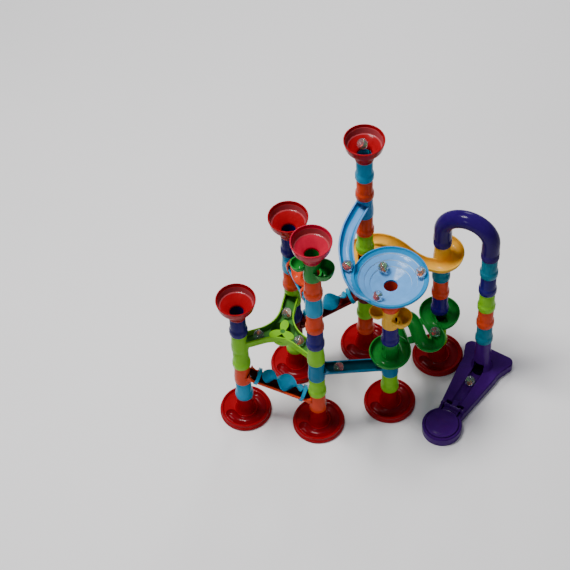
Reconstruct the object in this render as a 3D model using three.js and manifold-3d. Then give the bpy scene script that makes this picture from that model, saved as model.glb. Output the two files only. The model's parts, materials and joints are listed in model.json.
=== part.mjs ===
// A marble run: seven stacked towers joined by channels, ramps, chutes, a whirl bowl and a lift pipe.
// Every piece plugs 8 mm into the widened foot of the piece above it. Millimetres, +Z up.

import * as THREE from "three";
import { mergeVertices } from "three/addons/utils/BufferGeometryUtils.js";
import Module from "manifold-3d";

const wasm = await Module();
wasm.setup();

// ---------------------------------------------------------------- driving dimensions

const MARBLE_R = 8;
const GAP = 0.3; // clearance between pieces that touch
const UNIT = 40; // height that one piece adds to a tower
const PLUG = 8; // depth of the joint between two pieces
const TUBE_R = 11.75;
const BORE_R = 10.15;
const COLLAR_R = 13.5; // widened foot of a tube
const COLLAR_H = 11;
const END_R = 12.9; // foot of a channel's end sleeve
const SOCKET_R = TUBE_R + GAP;
const SIDES = 12; // sides of a round section

const BASE_R = 39.25;
const BASE_H = 10.3;
const BASE_TOP = 42; // height of the first joint of a tower above the table
const LIFT_TOP = BASE_TOP + UNIT; // the same for the launcher's taller stem

const SPACING = 113.3; // between neighbouring towers

const CHANNEL_R = 8.8; // inside radius of every open channel
const CHANNEL_WALL = 1.5;
const CHANNEL_RIM = 1.5; // height of a channel's edge above the marble's centre
const CHANNEL_Z = 20; // marble's centre above the joint, where a straight link meets its tower

const BOWL_R = 30; // outside of the bowl around a curved chute's end
const BOWL_TRACK_R = BOWL_R - CHANNEL_WALL - CHANNEL_R + 0.4;

const FUNNEL_R = 28.9;
const FUNNEL_H = 38.9;

const WHIRL_R = 53.6;
const WHIRL_H = 33.6;
const WHIRL_HOLE_R = 11.3;
const WHIRL_HOLE_Z = 11.5;

// ---------------------------------------------------------------- the plan

// Four towers stand on a square, and one on the tip of an equal-sided triangle at each side of it.
const HALF = SPACING / 2;
const TIP = HALF + SPACING * Math.sin(Math.PI / 3);
const LIFT_STEP = 71.7; // from the right tower to the lift pipe
const LIFT_ANGLE = THREE.MathUtils.degToRad(-39.8);

const towers = {
  left: new THREE.Vector2(-TIP, 0),
  front_left: new THREE.Vector2(-HALF, -HALF),
  back_left: new THREE.Vector2(-HALF, HALF),
  back_right: new THREE.Vector2(HALF, HALF),
  front_right: new THREE.Vector2(HALF, -HALF),
  right: new THREE.Vector2(TIP, 0),
};
towers.lift = new THREE.Vector2(LIFT_STEP * Math.cos(LIFT_ANGLE), LIFT_STEP * Math.sin(LIFT_ANGLE)).add(
  towers.right,
);

// Height of joint k of a tower.
function joint(k) {
  return BASE_TOP + k * UNIT;
}

// ---------------------------------------------------------------- colours

const colours = {
  red: 0xa5141c,
  crimson: 0xb3182e,
  navy: 0x17105f,
  purple: 0x2a0f72,
  indigo: 0x1d0f52,
  lime: 0x8cbe32,
  cyan: 0x198cbe,
  teal: 0x127889,
  orange: 0xc8482a,
  green: 0x2a8c38,
  yellow: 0xe0a232,
  blue: 0x1d86ad,
  sky: 0x78aee0,
  darkRed: 0x6e1714,
  glass: 0xbfd0da,
};

// ---------------------------------------------------------------- solids

// A closed geometry as a solid that can be joined and cut.
function solidOf(geometry) {
  geometry.deleteAttribute("normal");
  geometry.deleteAttribute("uv");
  const merged = mergeVertices(geometry, 1e-4);
  return new wasm.Manifold(
    new wasm.Mesh({
      numProp: 3,
      vertProperties: merged.attributes.position.array,
      triVerts: new Uint32Array(merged.index.array),
    }),
  );
}

function joined(solids) {
  return solids.reduce((sum, next) => sum.add(next));
}

// A profile of [radius, height] pairs, anticlockwise, turned about the Z axis.
function turned(profile, sides = SIDES) {
  const points = profile.map(([r, z]) => new THREE.Vector2(r, z));
  return solidOf(new THREE.LatheGeometry([...points, points[0]], sides).rotateX(Math.PI / 2));
}

function rod(radius, low, high, sides = SIDES) {
  const height = high - low;
  return solidOf(
    new THREE.CylinderGeometry(radius, radius, height, sides)
      .rotateX(Math.PI / 2)
      .translate(0, 0, low + height / 2),
  );
}

function block(size, centre) {
  return solidOf(new THREE.BoxGeometry(...size).translate(...centre));
}

function slab(shape, low, high, curveSegments = 8) {
  const geometry = new THREE.ExtrudeGeometry(shape, {
    depth: high - low,
    bevelEnabled: false,
    curveSegments,
  });
  return solidOf(geometry.translate(0, 0, low));
}

// A smooth path whose cross-sections never roll: a section's Y stays as upright as the path allows.
class TrackPath extends THREE.CatmullRomCurve3 {
  constructor(points) {
    super(points, false, "centripetal");
  }

  computeFrenetFrames(segments) {
    const up = new THREE.Vector3(0, 0, 1);
    const frames = { tangents: [], normals: [], binormals: [] };
    for (let i = 0; i <= segments; i++) {
      const tangent = this.getTangentAt(i / segments);
      const side = new THREE.Vector3().crossVectors(up, tangent).normalize();
      frames.tangents.push(tangent);
      frames.normals.push(side);
      frames.binormals.push(new THREE.Vector3().crossVectors(tangent, side));
    }
    return frames;
  }
}

function swept(shape, path, steps, curveSegments = 3) {
  return solidOf(new THREE.ExtrudeGeometry(shape, { extrudePath: path, steps, curveSegments }));
}

function disc(radius) {
  const shape = new THREE.Shape();
  shape.absarc(0, 0, radius, 0, 2 * Math.PI);
  return shape;
}

// The outside of a channel: a half round below the marble's centre, straight walls above it.
function channelShape(rim = CHANNEL_RIM) {
  const outer = CHANNEL_R + CHANNEL_WALL;
  const shape = new THREE.Shape();
  shape.moveTo(-outer, rim);
  shape.absarc(0, 0, outer, Math.PI, 2 * Math.PI);
  shape.lineTo(outer, rim);
  return shape;
}

// The space that a marble needs in a channel, open upwards to the given height.
function marbleSpace(top) {
  const shape = new THREE.Shape();
  shape.moveTo(-CHANNEL_R, top);
  shape.absarc(0, 0, CHANNEL_R, Math.PI, 2 * Math.PI);
  shape.lineTo(CHANNEL_R, top);
  return shape;
}

// ---------------------------------------------------------------- the assembled group

const run = new THREE.Group();

function place(name, solid, colour, group = run, look = { roughness: 0.25, metalness: 0 }) {
  const { numProp, vertProperties, triVerts, numVert } = solid.getMesh();
  const positions = new Float32Array(numVert * 3);
  for (let i = 0; i < numVert; i++) {
    positions.set(vertProperties.subarray(i * numProp, i * numProp + 3), i * 3);
  }
  const geometry = new THREE.BufferGeometry();
  geometry.setAttribute("position", new THREE.BufferAttribute(positions, 3));
  geometry.setIndex(new THREE.BufferAttribute(triVerts, 1));
  geometry.computeVertexNormals();
  const mesh = new THREE.Mesh(geometry, new THREE.MeshStandardMaterial({ color: colour, ...look }));
  mesh.name = name;
  group.add(mesh);
  return mesh;
}

// ---------------------------------------------------------------- stacked pieces

const TOP = UNIT + PLUG - GAP; // upper edge of a piece's plug above its own foot

// The bore and the socket of a piece whose foot is at height 0.
function pieceBore(low = 0) {
  return rod(BORE_R, low, TOP + 1);
}

function footSocket() {
  return rod(SOCKET_R, -1, PLUG);
}

function tubeSolid() {
  const outside = turned([
    [0, 0],
    [COLLAR_R, 0],
    [COLLAR_R, COLLAR_H],
    [TUBE_R, COLLAR_H + 1.6],
    [TUBE_R, TOP],
    [0, TOP],
  ]);
  return outside.subtract(pieceBore()).subtract(footSocket());
}

// The outside of a channel's end: it narrows from its foot to the plug.
function sleeveSolid() {
  return turned([
    [0, 0],
    [END_R, 0],
    [END_R, COLLAR_H],
    [TUBE_R, COLLAR_H + 14],
    [TUBE_R, TOP],
    [0, TOP],
  ]);
}

function funnelSolid() {
  const WALL = 1.6;
  const NECK_H = 11;
  const outside = turned([
    [0, 0],
    [COLLAR_R, 0],
    [COLLAR_R, NECK_H],
    [FUNNEL_R - 2.4, FUNNEL_H - 14],
    [FUNNEL_R, FUNNEL_H],
    [0, FUNNEL_H],
  ]);
  const hollow = turned([
    [0, NECK_H + 0.5],
    [BORE_R, NECK_H + 0.5],
    [FUNNEL_R - 2.4 - WALL, FUNNEL_H - 13],
    [FUNNEL_R - WALL, FUNNEL_H + 1],
    [0, FUNNEL_H + 1],
  ]);
  return outside.subtract(hollow).subtract(rod(BORE_R, 0, NECK_H + 1)).subtract(footSocket());
}

// A foot: a stepped disc with a tapered stem, and a groove that leads a marble round to a pocket.
function baseSolid() {
  const GROOVE_R = 25;
  const GROOVE_FLOOR = 2.6;
  const plate = turned(
    [
      [0, 0],
      [BASE_R, 0],
      [BASE_R, 5],
      [BASE_R - 1.6, BASE_H],
      [BASE_R - 4, BASE_H],
      [BASE_R - 5.2, BASE_H - 3],
      [0, BASE_H - 3],
    ],
    16,
  );
  const stem = turned([
    [0, 0],
    [COLLAR_R + 2, 0],
    [COLLAR_R + 2, BASE_H - 2],
    [TUBE_R + 1.4, BASE_H + 6],
    [TUBE_R, BASE_TOP],
    [TUBE_R, BASE_TOP + PLUG - GAP],
    [0, BASE_TOP + PLUG - GAP],
  ]);
  const start = THREE.MathUtils.degToRad(40);
  const end = THREE.MathUtils.degToRad(-170);
  const height = GROOVE_FLOOR + CHANNEL_R;
  const groove = [new THREE.Vector3(0, 0, height + 2.5)];
  for (let i = 0; i <= 6; i++) {
    const angle = THREE.MathUtils.lerp(start, end, i / 6);
    const x = GROOVE_R * Math.cos(angle);
    const y = GROOVE_R * Math.sin(angle);
    groove.push(new THREE.Vector3(x, y, height + 1.5 * (1 - i / 6)));
  }
  return plate
    .add(stem)
    .subtract(swept(disc(CHANNEL_R), new TrackPath(groove), 7, 4))
    .subtract(rod(BORE_R, height + 2.5, BASE_TOP + PLUG));
}

function towerGroup(tower) {
  const group = new THREE.Group();
  group.position.set(towers[tower].x, towers[tower].y, 0);
  run.add(group);
  return group;
}

// The plain tubes of each tower, from the lowest: [joint that the tube stands on, colour].
const tubes = {
  left: [
    [0, "cyan"],
    [2, "lime"],
    [4, "navy"],
  ],
  front_left: [
    [1, "lime"],
    [4, "navy"],
    [5, "orange"],
    [7, "orange"],
  ],
  back_left: [
    [0, "lime"],
    [2, "navy"],
    [4, "orange"],
    [6, "navy"],
  ],
  back_right: [
    [0, "orange"],
    [1, "lime"],
    [3, "teal"],
    [5, "lime"],
    [6, "orange"],
    [8, "orange"],
    [9, "cyan"],
  ],
  front_right: [
    [0, "lime"],
    [3, "purple"],
    [5, "orange"],
  ],
  right: [
    [0, "lime"],
    [2, "purple"],
    [3, "orange"],
    [4, "teal"],
  ],
  lift: [
    [1, "teal"],
    [2, "orange"],
    [3, "lime"],
    [4, "navy"],
    [5, "teal"],
  ],
};

const funnels = { left: 5, front_left: 9, back_left: 7, back_right: 10 };

const tube = tubeSolid();
const base = baseSolid();
const funnel = funnelSolid();
for (const tower of Object.keys(towers)) {
  const group = towerGroup(tower);
  if (tower !== "lift") {
    place(`base_${tower}`, base, colours.red, group);
  }
  tubes[tower].forEach(([k, colour], i) => {
    place(`tube_${tower}_${i + 1}`, tube, colours[colour], group).position.z = joint(k);
  });
  if (tower in funnels) {
    const colour = tower === "front_left" ? colours.crimson : colours.red;
    place(`funnel_${tower}`, funnel, colour, group).position.z = joint(funnels[tower]);
  }
}

// ---------------------------------------------------------------- straight links

function at(tower, z) {
  return new THREE.Vector3(towers[tower].x, towers[tower].y, z);
}

// A sleeve standing on joint k of a tower, and what to cut from it. A dropped marble is either
// stopped by a floor at the given height, and so rolls out sideways, or falls on through.
function sleeveAt(tower, k, floor = null) {
  const { x, y } = towers[tower];
  const shift = [x, y, joint(k)];
  return {
    outside: sleeveSolid().translate(shift),
    cuts: [pieceBore(floor ?? 0).translate(shift), footSocket().translate(shift)],
  };
}

// An open channel from joint k of one tower to joint k - 1 of the next.
function straightLink(from, k, to) {
  const start = at(from, joint(k) + CHANNEL_Z);
  const end = at(to, joint(k - 1) + CHANNEL_Z);
  const path = new TrackPath([start, end]);
  const upper = sleeveAt(from, k, CHANNEL_Z);
  const lower = sleeveAt(to, k - 1);
  const solid = joined([upper.outside, lower.outside, swept(channelShape(), path, 1)])
    .subtract(swept(disc(CHANNEL_R), path, 1, 6))
    .subtract(joined([...upper.cuts, ...lower.cuts]));
  return { solid, start, end };
}

place("straight_channel", straightLink("front_left", 2, "front_right").solid, colours.blue);

// ---------------------------------------------------------------- twister ramps

const AXLE_R = 1.2;
const AXLE_HOLE_R = AXLE_R + 0.35;
const AXLE_H = 12.5; // spinner's axis above the marble's centre
const CLIP_T = 5; // length of a clip along the ramp
const CLIP_PLACES = [-36, 36]; // clips along the ramp, from its middle
const BLADE_R = 13;
const BLADE_T = 1.8;
const BLADE_LENGTH = CLIP_PLACES[1] - CLIP_PLACES[0] - CLIP_T - 3;

// A strap round the channel that arches over it and carries an eye for the spinner's axle.
function clipSolid() {
  const STRAP = 1.8;
  const inner = CHANNEL_R + CHANNEL_WALL - 0.2;
  const outer = inner + STRAP;
  const shape = new THREE.Shape();
  shape.moveTo(-outer, 0);
  shape.absarc(0, 0, outer, Math.PI, 2 * Math.PI);
  shape.lineTo(outer, AXLE_H - 4);
  shape.lineTo(4, AXLE_H + 3.4);
  shape.lineTo(-4, AXLE_H + 3.4);
  shape.lineTo(-outer, AXLE_H - 4);
  const opening = new THREE.Path();
  opening.moveTo(-inner, 0);
  opening.absarc(0, 0, inner, Math.PI, 2 * Math.PI);
  opening.lineTo(inner, AXLE_H - 5);
  opening.lineTo(4, AXLE_H - 3.2);
  opening.lineTo(-4, AXLE_H - 3.2);
  opening.lineTo(-inner, AXLE_H - 5);
  shape.holes.push(opening);
  return slab(shape, -CLIP_T / 2, CLIP_T / 2, 3).subtract(
    rod(AXLE_HOLE_R, -CLIP_T, CLIP_T, 8).translate([0, AXLE_H, 0]),
  );
}

// A flat blade twisted through one turn and rounded at its ends, with a stub axle at each end.
function spinnerSolid() {
  const TURN = 2 * Math.PI;
  const geometry = new THREE.BoxGeometry(2 * BLADE_R, BLADE_T, BLADE_LENGTH, 4, 1, 16);
  const position = geometry.attributes.position;
  for (let i = 0; i < position.count; i++) {
    const along = position.getZ(i) / BLADE_LENGTH;
    const fromEnd = 1 - Math.abs(2 * along);
    const x = position.getX(i) * Math.min(1, 0.2 + 2.4 * Math.sqrt(fromEnd / 4));
    const y = position.getY(i);
    position.setX(i, x * Math.cos(TURN * along) - y * Math.sin(TURN * along));
    position.setY(i, x * Math.sin(TURN * along) + y * Math.cos(TURN * along));
  }
  const reach = (CLIP_PLACES[1] - CLIP_PLACES[0] + CLIP_T) / 2 + 1;
  const axle = rod(AXLE_R, BLADE_LENGTH / 2 - 2, reach, 8);
  return joined([solidOf(geometry), axle, axle.translate([0, 0, 2 - BLADE_LENGTH / 2 - reach])]);
}

// Turns a solid built along +Z, with +Y as its top, to lie along the ramp.
function alongRamp(solid, start, end, distance, lift = 0) {
  const direction = new THREE.Vector3().subVectors(end, start).normalize();
  const side = new THREE.Vector3().crossVectors(new THREE.Vector3(0, 0, 1), direction).normalize();
  const top = new THREE.Vector3().crossVectors(direction, side);
  const centre = new THREE.Vector3()
    .addVectors(start, end)
    .multiplyScalar(0.5)
    .addScaledVector(direction, distance)
    .addScaledVector(top, lift);
  const matrix = new THREE.Matrix4().makeBasis(side, top, direction).setPosition(centre);
  return solid.transform(matrix.elements);
}

const clip = clipSolid();
const spinner = spinnerSolid();
const CLIP_MIDDLE = (CLIP_PLACES[0] + CLIP_PLACES[1]) / 2;
const ramps = [
  { name: "front", from: "left", k: 1, to: "front_left", colour: "orange", spinner: "cyan" },
  { name: "middle", from: "front_left", k: 6, to: "back_left", colour: "cyan", spinner: "orange" },
  { name: "rear", from: "back_right", k: 2, to: "back_left", colour: "darkRed", spinner: "cyan" },
];
for (const ramp of ramps) {
  const { solid, start, end } = straightLink(ramp.from, ramp.k, ramp.to);
  const clips = CLIP_PLACES.map((distance) => alongRamp(clip, start, end, distance));
  place(`ramp_${ramp.name}`, joined([solid, ...clips]), colours[ramp.colour]);
  const turning = alongRamp(spinner, start, end, CLIP_MIDDLE, AXLE_H);
  place(`spinner_${ramp.name}`, turning, colours[ramp.spinner]);
}

// ---------------------------------------------------------------- three-way channel

// Three arms meet at a round well. A raised three-lobed island in the well shares the marbles out.
function threeWaySolid() {
  const k = 3;
  const ends = ["left", "front_left", "back_left"];
  const centre = new THREE.Vector2();
  ends.forEach((tower) => centre.addScaledVector(towers[tower], 1 / 3));
  const FLOOR = joint(k) + CHANNEL_Z - CHANNEL_R;
  const RIM = FLOOR + CHANNEL_R + CHANNEL_RIM + 1;
  const WELL_R = 18;
  const WELL_DEPTH = 22;
  const CORNER_R = 45;
  const armLength = SPACING / Math.sqrt(3);

  // The plan of the arms, whose edges sweep into each other in hollow curves.
  function plan(halfWidth) {
    const radius = CORNER_R + CHANNEL_R + CHANNEL_WALL - halfWidth;
    const reach = (halfWidth + radius) / Math.sin(Math.PI / 3);
    const shape = new THREE.Shape();
    for (let arm = 0; arm < 3; arm++) {
      const axis = Math.PI + (arm * 2 * Math.PI) / 3;
      const along = new THREE.Vector2(Math.cos(axis), Math.sin(axis));
      const across = new THREE.Vector2(-along.y, along.x);
      for (const side of [-1, 1]) {
        const tip = along.clone().multiplyScalar(armLength).addScaledVector(across, side * halfWidth);
        if (arm === 0 && side === -1) shape.moveTo(tip.x, tip.y);
        else shape.lineTo(tip.x, tip.y);
      }
      const bisector = axis + Math.PI / 3;
      const entry = bisector + Math.PI + Math.PI / 6;
      const leave = bisector + Math.PI - Math.PI / 6;
      shape.absarc(reach * Math.cos(bisector), reach * Math.sin(bisector), radius, entry, leave, true);
    }
    return shape;
  }

  const sleeves = ends.map((tower) => sleeveAt(tower, k, tower === "back_left" ? CHANNEL_Z : null));
  const well = turned(
    [
      [0, -WELL_DEPTH - CHANNEL_WALL],
      [WELL_R * 0.55, -WELL_DEPTH - CHANNEL_WALL],
      [WELL_R * 0.9, -WELL_DEPTH * 0.6],
      [WELL_R + CHANNEL_WALL, 0.2],
      [0, 0.2],
    ],
    16,
  );
  const wellSpace = turned(
    [
      [0, -WELL_DEPTH],
      [WELL_R * 0.5, -WELL_DEPTH],
      [WELL_R * 0.85, -WELL_DEPTH * 0.55],
      [WELL_R, 0.5],
      [0, 0.5],
    ],
    16,
  );
  const island = new THREE.Shape();
  for (let i = 0; i < 18; i++) {
    const angle = (i / 18) * 2 * Math.PI;
    const radius = 12.5 + 8 * Math.cos(3 * (angle - Math.PI));
    island.lineTo(radius * Math.cos(angle), radius * Math.sin(angle));
  }
  const middle = [centre.x, centre.y, FLOOR];
  const deck = [centre.x, centre.y, 0];
  const CURVE = 4;
  const passage = slab(plan(CHANNEL_R), FLOOR, FLOOR + 2 * MARBLE_R + 1, CURVE).translate(deck);
  return joined([
    slab(plan(CHANNEL_R + CHANNEL_WALL), FLOOR - CHANNEL_WALL, RIM, CURVE).translate(deck),
    well.translate(middle),
    ...sleeves.map((sleeve) => sleeve.outside),
  ])
    .subtract(passage)
    .subtract(wellSpace.translate(middle))
    .add(slab(island, -WELL_DEPTH - 0.5, 1.5).translate(middle))
    .subtract(joined(sleeves.flatMap((sleeve) => sleeve.cuts)));
}

place("three_way_channel", threeWaySolid(), colours.lime);

// ---------------------------------------------------------------- curved chutes with end bowls

// Points on an arc about a tower or a point, with the height falling steadily along it.
function arc(centre, radius, fromDegrees, toDegrees, fromZ, toZ, count = 5) {
  const points = [];
  for (let i = 0; i <= count; i++) {
    const angle = THREE.MathUtils.degToRad(THREE.MathUtils.lerp(fromDegrees, toDegrees, i / count));
    points.push(
      new THREE.Vector3(
        centre.x + radius * Math.cos(angle),
        centre.y + radius * Math.sin(angle),
        THREE.MathUtils.lerp(fromZ, toZ, i / count),
      ),
    );
  }
  return points;
}

// A round trough about a tower, whose marbles' centres run at height z.
function bowlAt(tower, z, rim) {
  const outer = CHANNEL_R + CHANNEL_WALL;
  const profile = [[0, -outer]];
  for (let i = 0; i <= 3; i++) {
    const angle = (i / 3 - 1) * (Math.PI / 2);
    profile.push([BOWL_TRACK_R + outer * Math.cos(angle), outer * Math.sin(angle)]);
  }
  profile.push([BOWL_TRACK_R + outer, rim], [0, rim]);
  const hub = BORE_R + 0.5;
  const space = [[hub, -CHANNEL_R / 2]];
  for (let i = 0; i <= 4; i++) {
    const angle = ((i / 4 - 1) * Math.PI * 5) / 6;
    space.push([BOWL_TRACK_R + CHANNEL_R * Math.cos(angle), CHANNEL_R * Math.sin(angle)]);
  }
  space.push([BOWL_TRACK_R + CHANNEL_R, rim + 1], [hub, rim + 1]);
  const shift = [towers[tower].x, towers[tower].y, z];
  return {
    outside: turned(profile).translate(shift),
    space: turned(space).translate(shift),
  };
}

// A window from a sleeve's bore into the bowl around it, in the given direction.
function windowAt(tower, degrees, low, high) {
  const opening = block([BOWL_TRACK_R, 2 * MARBLE_R + 0.8, high - low], [BOWL_TRACK_R / 2, 0, (low + high) / 2]);
  return opening.rotate([0, 0, degrees]).translate([towers[tower].x, towers[tower].y, 0]);
}

// A curved chute from joint k of one tower down to joint k - 1 of the next. Its marbles leave the upper
// sleeve with their centres at height outZ, and its space may start later than its wall does.
function curvedChute({ from, k, to, points, spacePoints = points, steps, bowls, outZ, endZ, rim, outlet, inlet }) {
  const WINDOW_H = 2 * MARBLE_R + 1.4;
  const floor = Math.max(outZ - CHANNEL_R - joint(k) + 1, PLUG + 1);
  const upper = sleeveAt(from, k, floor);
  const lower = sleeveAt(to, k - 1);
  const outletLow = joint(k) + floor;
  const inletLow = endZ - CHANNEL_R;
  const shell = swept(channelShape(rim), new TrackPath(points), steps);
  const space = swept(marbleSpace(rim + 1), new TrackPath(spacePoints), steps);
  return joined([...bowls.map((bowl) => bowl.outside), shell])
    .subtract(joined([...bowls.map((bowl) => bowl.space), space]))
    .add(upper.outside)
    .add(lower.outside)
    .subtract(windowAt(from, outlet, outletLow, outletLow + WINDOW_H))
    .subtract(windowAt(to, inlet, inletLow, inletLow + WINDOW_H))
    .subtract(joined([...upper.cuts, ...lower.cuts]));
}

// The green chute folds three runs side by side between its two bowls.
function foldedChute() {
  const startZ = joint(2) + 10.5;
  const endZ = joint(1) + 30.8;
  const RUN_X = [81, 109, 136];
  const drop = (share) => THREE.MathUtils.lerp(startZ, endZ, share);
  const rearTurn = new THREE.Vector2((RUN_X[0] + RUN_X[1]) / 2, -12);
  const frontTurn = new THREE.Vector2((RUN_X[1] + RUN_X[2]) / 2, -44);
  const points = [
    ...arc(towers.front_right, BOWL_TRACK_R, -45, -15, startZ, startZ, 1),
    ...arc(rearTurn, (RUN_X[1] - RUN_X[0]) / 2, 180, 0, drop(0.25), drop(0.45), 4),
    ...arc(frontTurn, (RUN_X[2] - RUN_X[1]) / 2, -180, 0, drop(0.55), drop(0.75), 4),
    ...arc(towers.right, BOWL_TRACK_R, 165, 130, endZ, endZ, 1),
  ];
  const rim = 3;
  const solid = curvedChute({
    from: "front_right",
    k: 2,
    to: "right",
    points,
    steps: 18,
    bowls: [bowlAt("front_right", startZ, rim), bowlAt("right", endZ, rim)],
    outZ: startZ,
    endZ,
    rim,
    outlet: 180,
    inlet: -90,
  });
  // Thin webs tie the runs to each other where their walls face.
  const webs = [
    block([13, 12, 1.4], [93.5, -40, drop(0.5)]),
    block([11, 12, 1.4], [119.8, -8, endZ + 1.8]),
  ];
  return joined([solid, ...webs]);
}

// The yellow chute winds down round the right tower, then swings away to a bowl on the tallest one.
function sweepingChute() {
  const startZ = joint(5) + 11.5;
  const endZ = joint(4) + 26;
  const WIND_R = 21.5;
  const outZ = startZ + 10;
  const WIND = [98, -140]; // degrees about the tower
  const END_WALL = 4; // the same for the wall at its upper end
  const rim = 3;
  const drop = (share) => THREE.MathUtils.lerp(startZ, endZ, share);
  const points = [
    ...arc(towers.right, WIND_R, WIND[0], WIND[1], outZ, startZ, 8),
    new THREE.Vector3(127, -3, drop(0.15)),
    new THREE.Vector3(119, 9, drop(0.27)),
    new THREE.Vector3(112, 25, drop(0.4)),
    new THREE.Vector3(105, 43, drop(0.53)),
    new THREE.Vector3(95, 60, drop(0.66)),
    new THREE.Vector3(80, 73, drop(0.82)),
    ...arc(towers.back_right, BOWL_TRACK_R, 85, 120, endZ, endZ, 1),
  ];
  const [spaceStart] = arc(towers.right, WIND_R, WIND[0] - END_WALL, WIND[1], outZ, startZ, 1);
  return curvedChute({
    from: "right",
    k: 5,
    to: "back_right",
    points,
    spacePoints: [spaceStart, ...points.slice(1)],
    steps: 20,
    bowls: [bowlAt("back_right", endZ, rim)],
    outZ,
    endZ,
    rim,
    outlet: 75,
    inlet: -120,
  });
}

place("folded_chute", foldedChute(), colours.green);
place("sweeping_chute", sweepingChute(), colours.yellow);

// ---------------------------------------------------------------- whirl bowl

const WHIRL_K = 6;

// The bowl and the curved chute that feeds its rim from the tallest tower are one moulding.
function whirlSolid() {
  const FEED_K = 7;
  const centre = towers.front_right;
  const bottom = joint(WHIRL_K);
  const outside = turned(
    [
      [0, 0],
      [END_R, 0],
      [END_R, PLUG],
      [30, 14],
      [WHIRL_R - 3, 25],
      [WHIRL_R - 1, WHIRL_H - 5],
      [WHIRL_R, WHIRL_H],
      [0, WHIRL_H],
    ],
    18,
  );
  const hollow = turned(
    [
      [0, WHIRL_HOLE_Z],
      [WHIRL_HOLE_R, WHIRL_HOLE_Z],
      [29, 16],
      [30, 18.5],
      [37, 20.5],
      [38, 23],
      [45, 25.5],
      [46, 28],
      [WHIRL_R - 3.6, 30],
      [WHIRL_R - 2.2, WHIRL_H + 1],
      [0, WHIRL_H + 1],
    ],
    18,
  );
  const shift = [centre.x, centre.y, bottom];
  const path = new TrackPath([
    at("back_right", joint(FEED_K) + 27),
    new THREE.Vector3(41, 43, joint(FEED_K) + 23),
    new THREE.Vector3(25, 27, joint(FEED_K) + 17),
    new THREE.Vector3(11, 4, joint(FEED_K) + 9),
    new THREE.Vector3(5, -20, joint(FEED_K) + 2.5),
    new THREE.Vector3(2, -46, joint(FEED_K) - 1),
    new THREE.Vector3(8, -70, joint(FEED_K) - 2),
    new THREE.Vector3(21, -84, joint(FEED_K) - 2.5),
  ]);
  const feed = sleeveAt("back_right", FEED_K, 27);
  const STEPS = 12;
  const drain = rod(BORE_R, 0, WHIRL_HOLE_Z + 1).translate(shift);
  // The chute stops at the bowl's rim, so its marbles drop in from the side.
  const inRim = rod(WHIRL_R - 2.2, WHIRL_HOLE_Z, WHIRL_H + 12, 18).translate(shift);
  const chute = swept(channelShape(), path, STEPS).subtract(inRim);
  return joined([outside.translate(shift), chute, feed.outside])
    .subtract(hollow.translate(shift))
    .subtract(swept(disc(CHANNEL_R), path, STEPS, 6))
    .subtract(joined([...feed.cuts, footSocket().translate(shift), drain]));
}

place("whirl_bowl", whirlSolid(), colours.sky);

// ---------------------------------------------------------------- cup pieces

const CUP_ANGLE = THREE.MathUtils.degToRad(-30);

// A tube with a large cup at +X and a small one at -X; a window leads to the large one.
function cupSolid() {
  function cup(radius, height) {
    const wall = 1.5;
    const outside = [[0, 0]];
    const space = [[0, wall]];
    for (let i = 1; i <= 3; i++) {
      const angle = (i / 3) * (Math.PI / 2);
      outside.push([radius * Math.sin(angle), height * (1 - Math.cos(angle))]);
      space.push([(radius - wall) * Math.sin(angle), wall + (height - wall) * (1 - Math.cos(angle))]);
    }
    space.push([radius - wall, height + 1], [0, height + 1]);
    return { outside: turned([...outside, [0, height]]), space: turned(space) };
  }
  const large = cup(16.5, 23);
  const small = cup(12, 15);
  const largeShift = [15, 0, 1];
  const smallShift = [-19, 0, 12];
  return joined([large.outside.translate(largeShift), small.outside.translate(smallShift)])
    .subtract(joined([large.space.translate(largeShift), small.space.translate(smallShift)]))
    .add(sleeveSolid())
    .subtract(block([16, 2 * MARBLE_R + 0.6, 2 * MARBLE_R + 1], [12, 0, PLUG + 2 + MARBLE_R + 0.5]))
    .subtract(joined([pieceBore(), footSocket()]));
}

const cups = cupSolid();
for (const [tower, k, colour] of [
  ["front_left", 8, "green"],
  ["front_right", 4, "yellow"],
]) {
  const { x, y } = towers[tower];
  const piece = place(`cup_${tower}`, cups, colours[colour]);
  piece.position.set(x, y, joint(k));
  piece.rotation.z = CUP_ANGLE;
}

// ---------------------------------------------------------------- arch pipe

const ARCH_K = 6; // both legs stand on this joint height
const ARCH_R = LIFT_STEP / 2;
const ARCH_LEG = 31;

// The centre line of the arch, from the top of the lift pipe over to the right tower.
class ArchPath extends THREE.Curve {
  getPoint(t, target = new THREE.Vector3()) {
    const bend = Math.PI * ARCH_R;
    const length = 2 * ARCH_LEG + bend;
    const s = t * length;
    const direction = new THREE.Vector2().subVectors(towers.right, towers.lift).normalize();
    let across = 0;
    let height = s;
    if (s > ARCH_LEG + bend) {
      across = 2 * ARCH_R;
      height = length - s;
    } else if (s > ARCH_LEG) {
      const angle = (s - ARCH_LEG) / ARCH_R;
      across = ARCH_R * (1 - Math.cos(angle));
      height = ARCH_LEG + ARCH_R * Math.sin(angle);
    }
    return target.set(
      towers.lift.x + direction.x * across,
      towers.lift.y + direction.y * across,
      joint(ARCH_K) + height,
    );
  }
}

function archSolid() {
  const path = new ArchPath();
  const STEPS = 14;
  return swept(disc(COLLAR_R), path, STEPS, SIDES / 2)
    .subtract(swept(disc(BORE_R), path, STEPS, SIDES / 2))
    .subtract(joined(["lift", "right"].map((tower) => footSocket().translate(at(tower, joint(ARCH_K)).toArray()))));
}

place("arch_pipe", archSolid(), colours.indigo);

// ---------------------------------------------------------------- launcher

const LAUNCHER_ANGLE = THREE.MathUtils.degToRad(221); // from the lift pipe towards the striking pad
const DECK_H = 15;
const PAD_X = 126;
const PAD_R = 25;
const ROUND_R = 30;
const HINGE_X = 93;
const HINGE_Z = 16.5;
const PIN_R = 1.5;
const PIN_LENGTH = 40;
const NECK_HALF = 19;
const LANE_START = 17; // marble's centre height under the stem
const LANE_END = 19;

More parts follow.
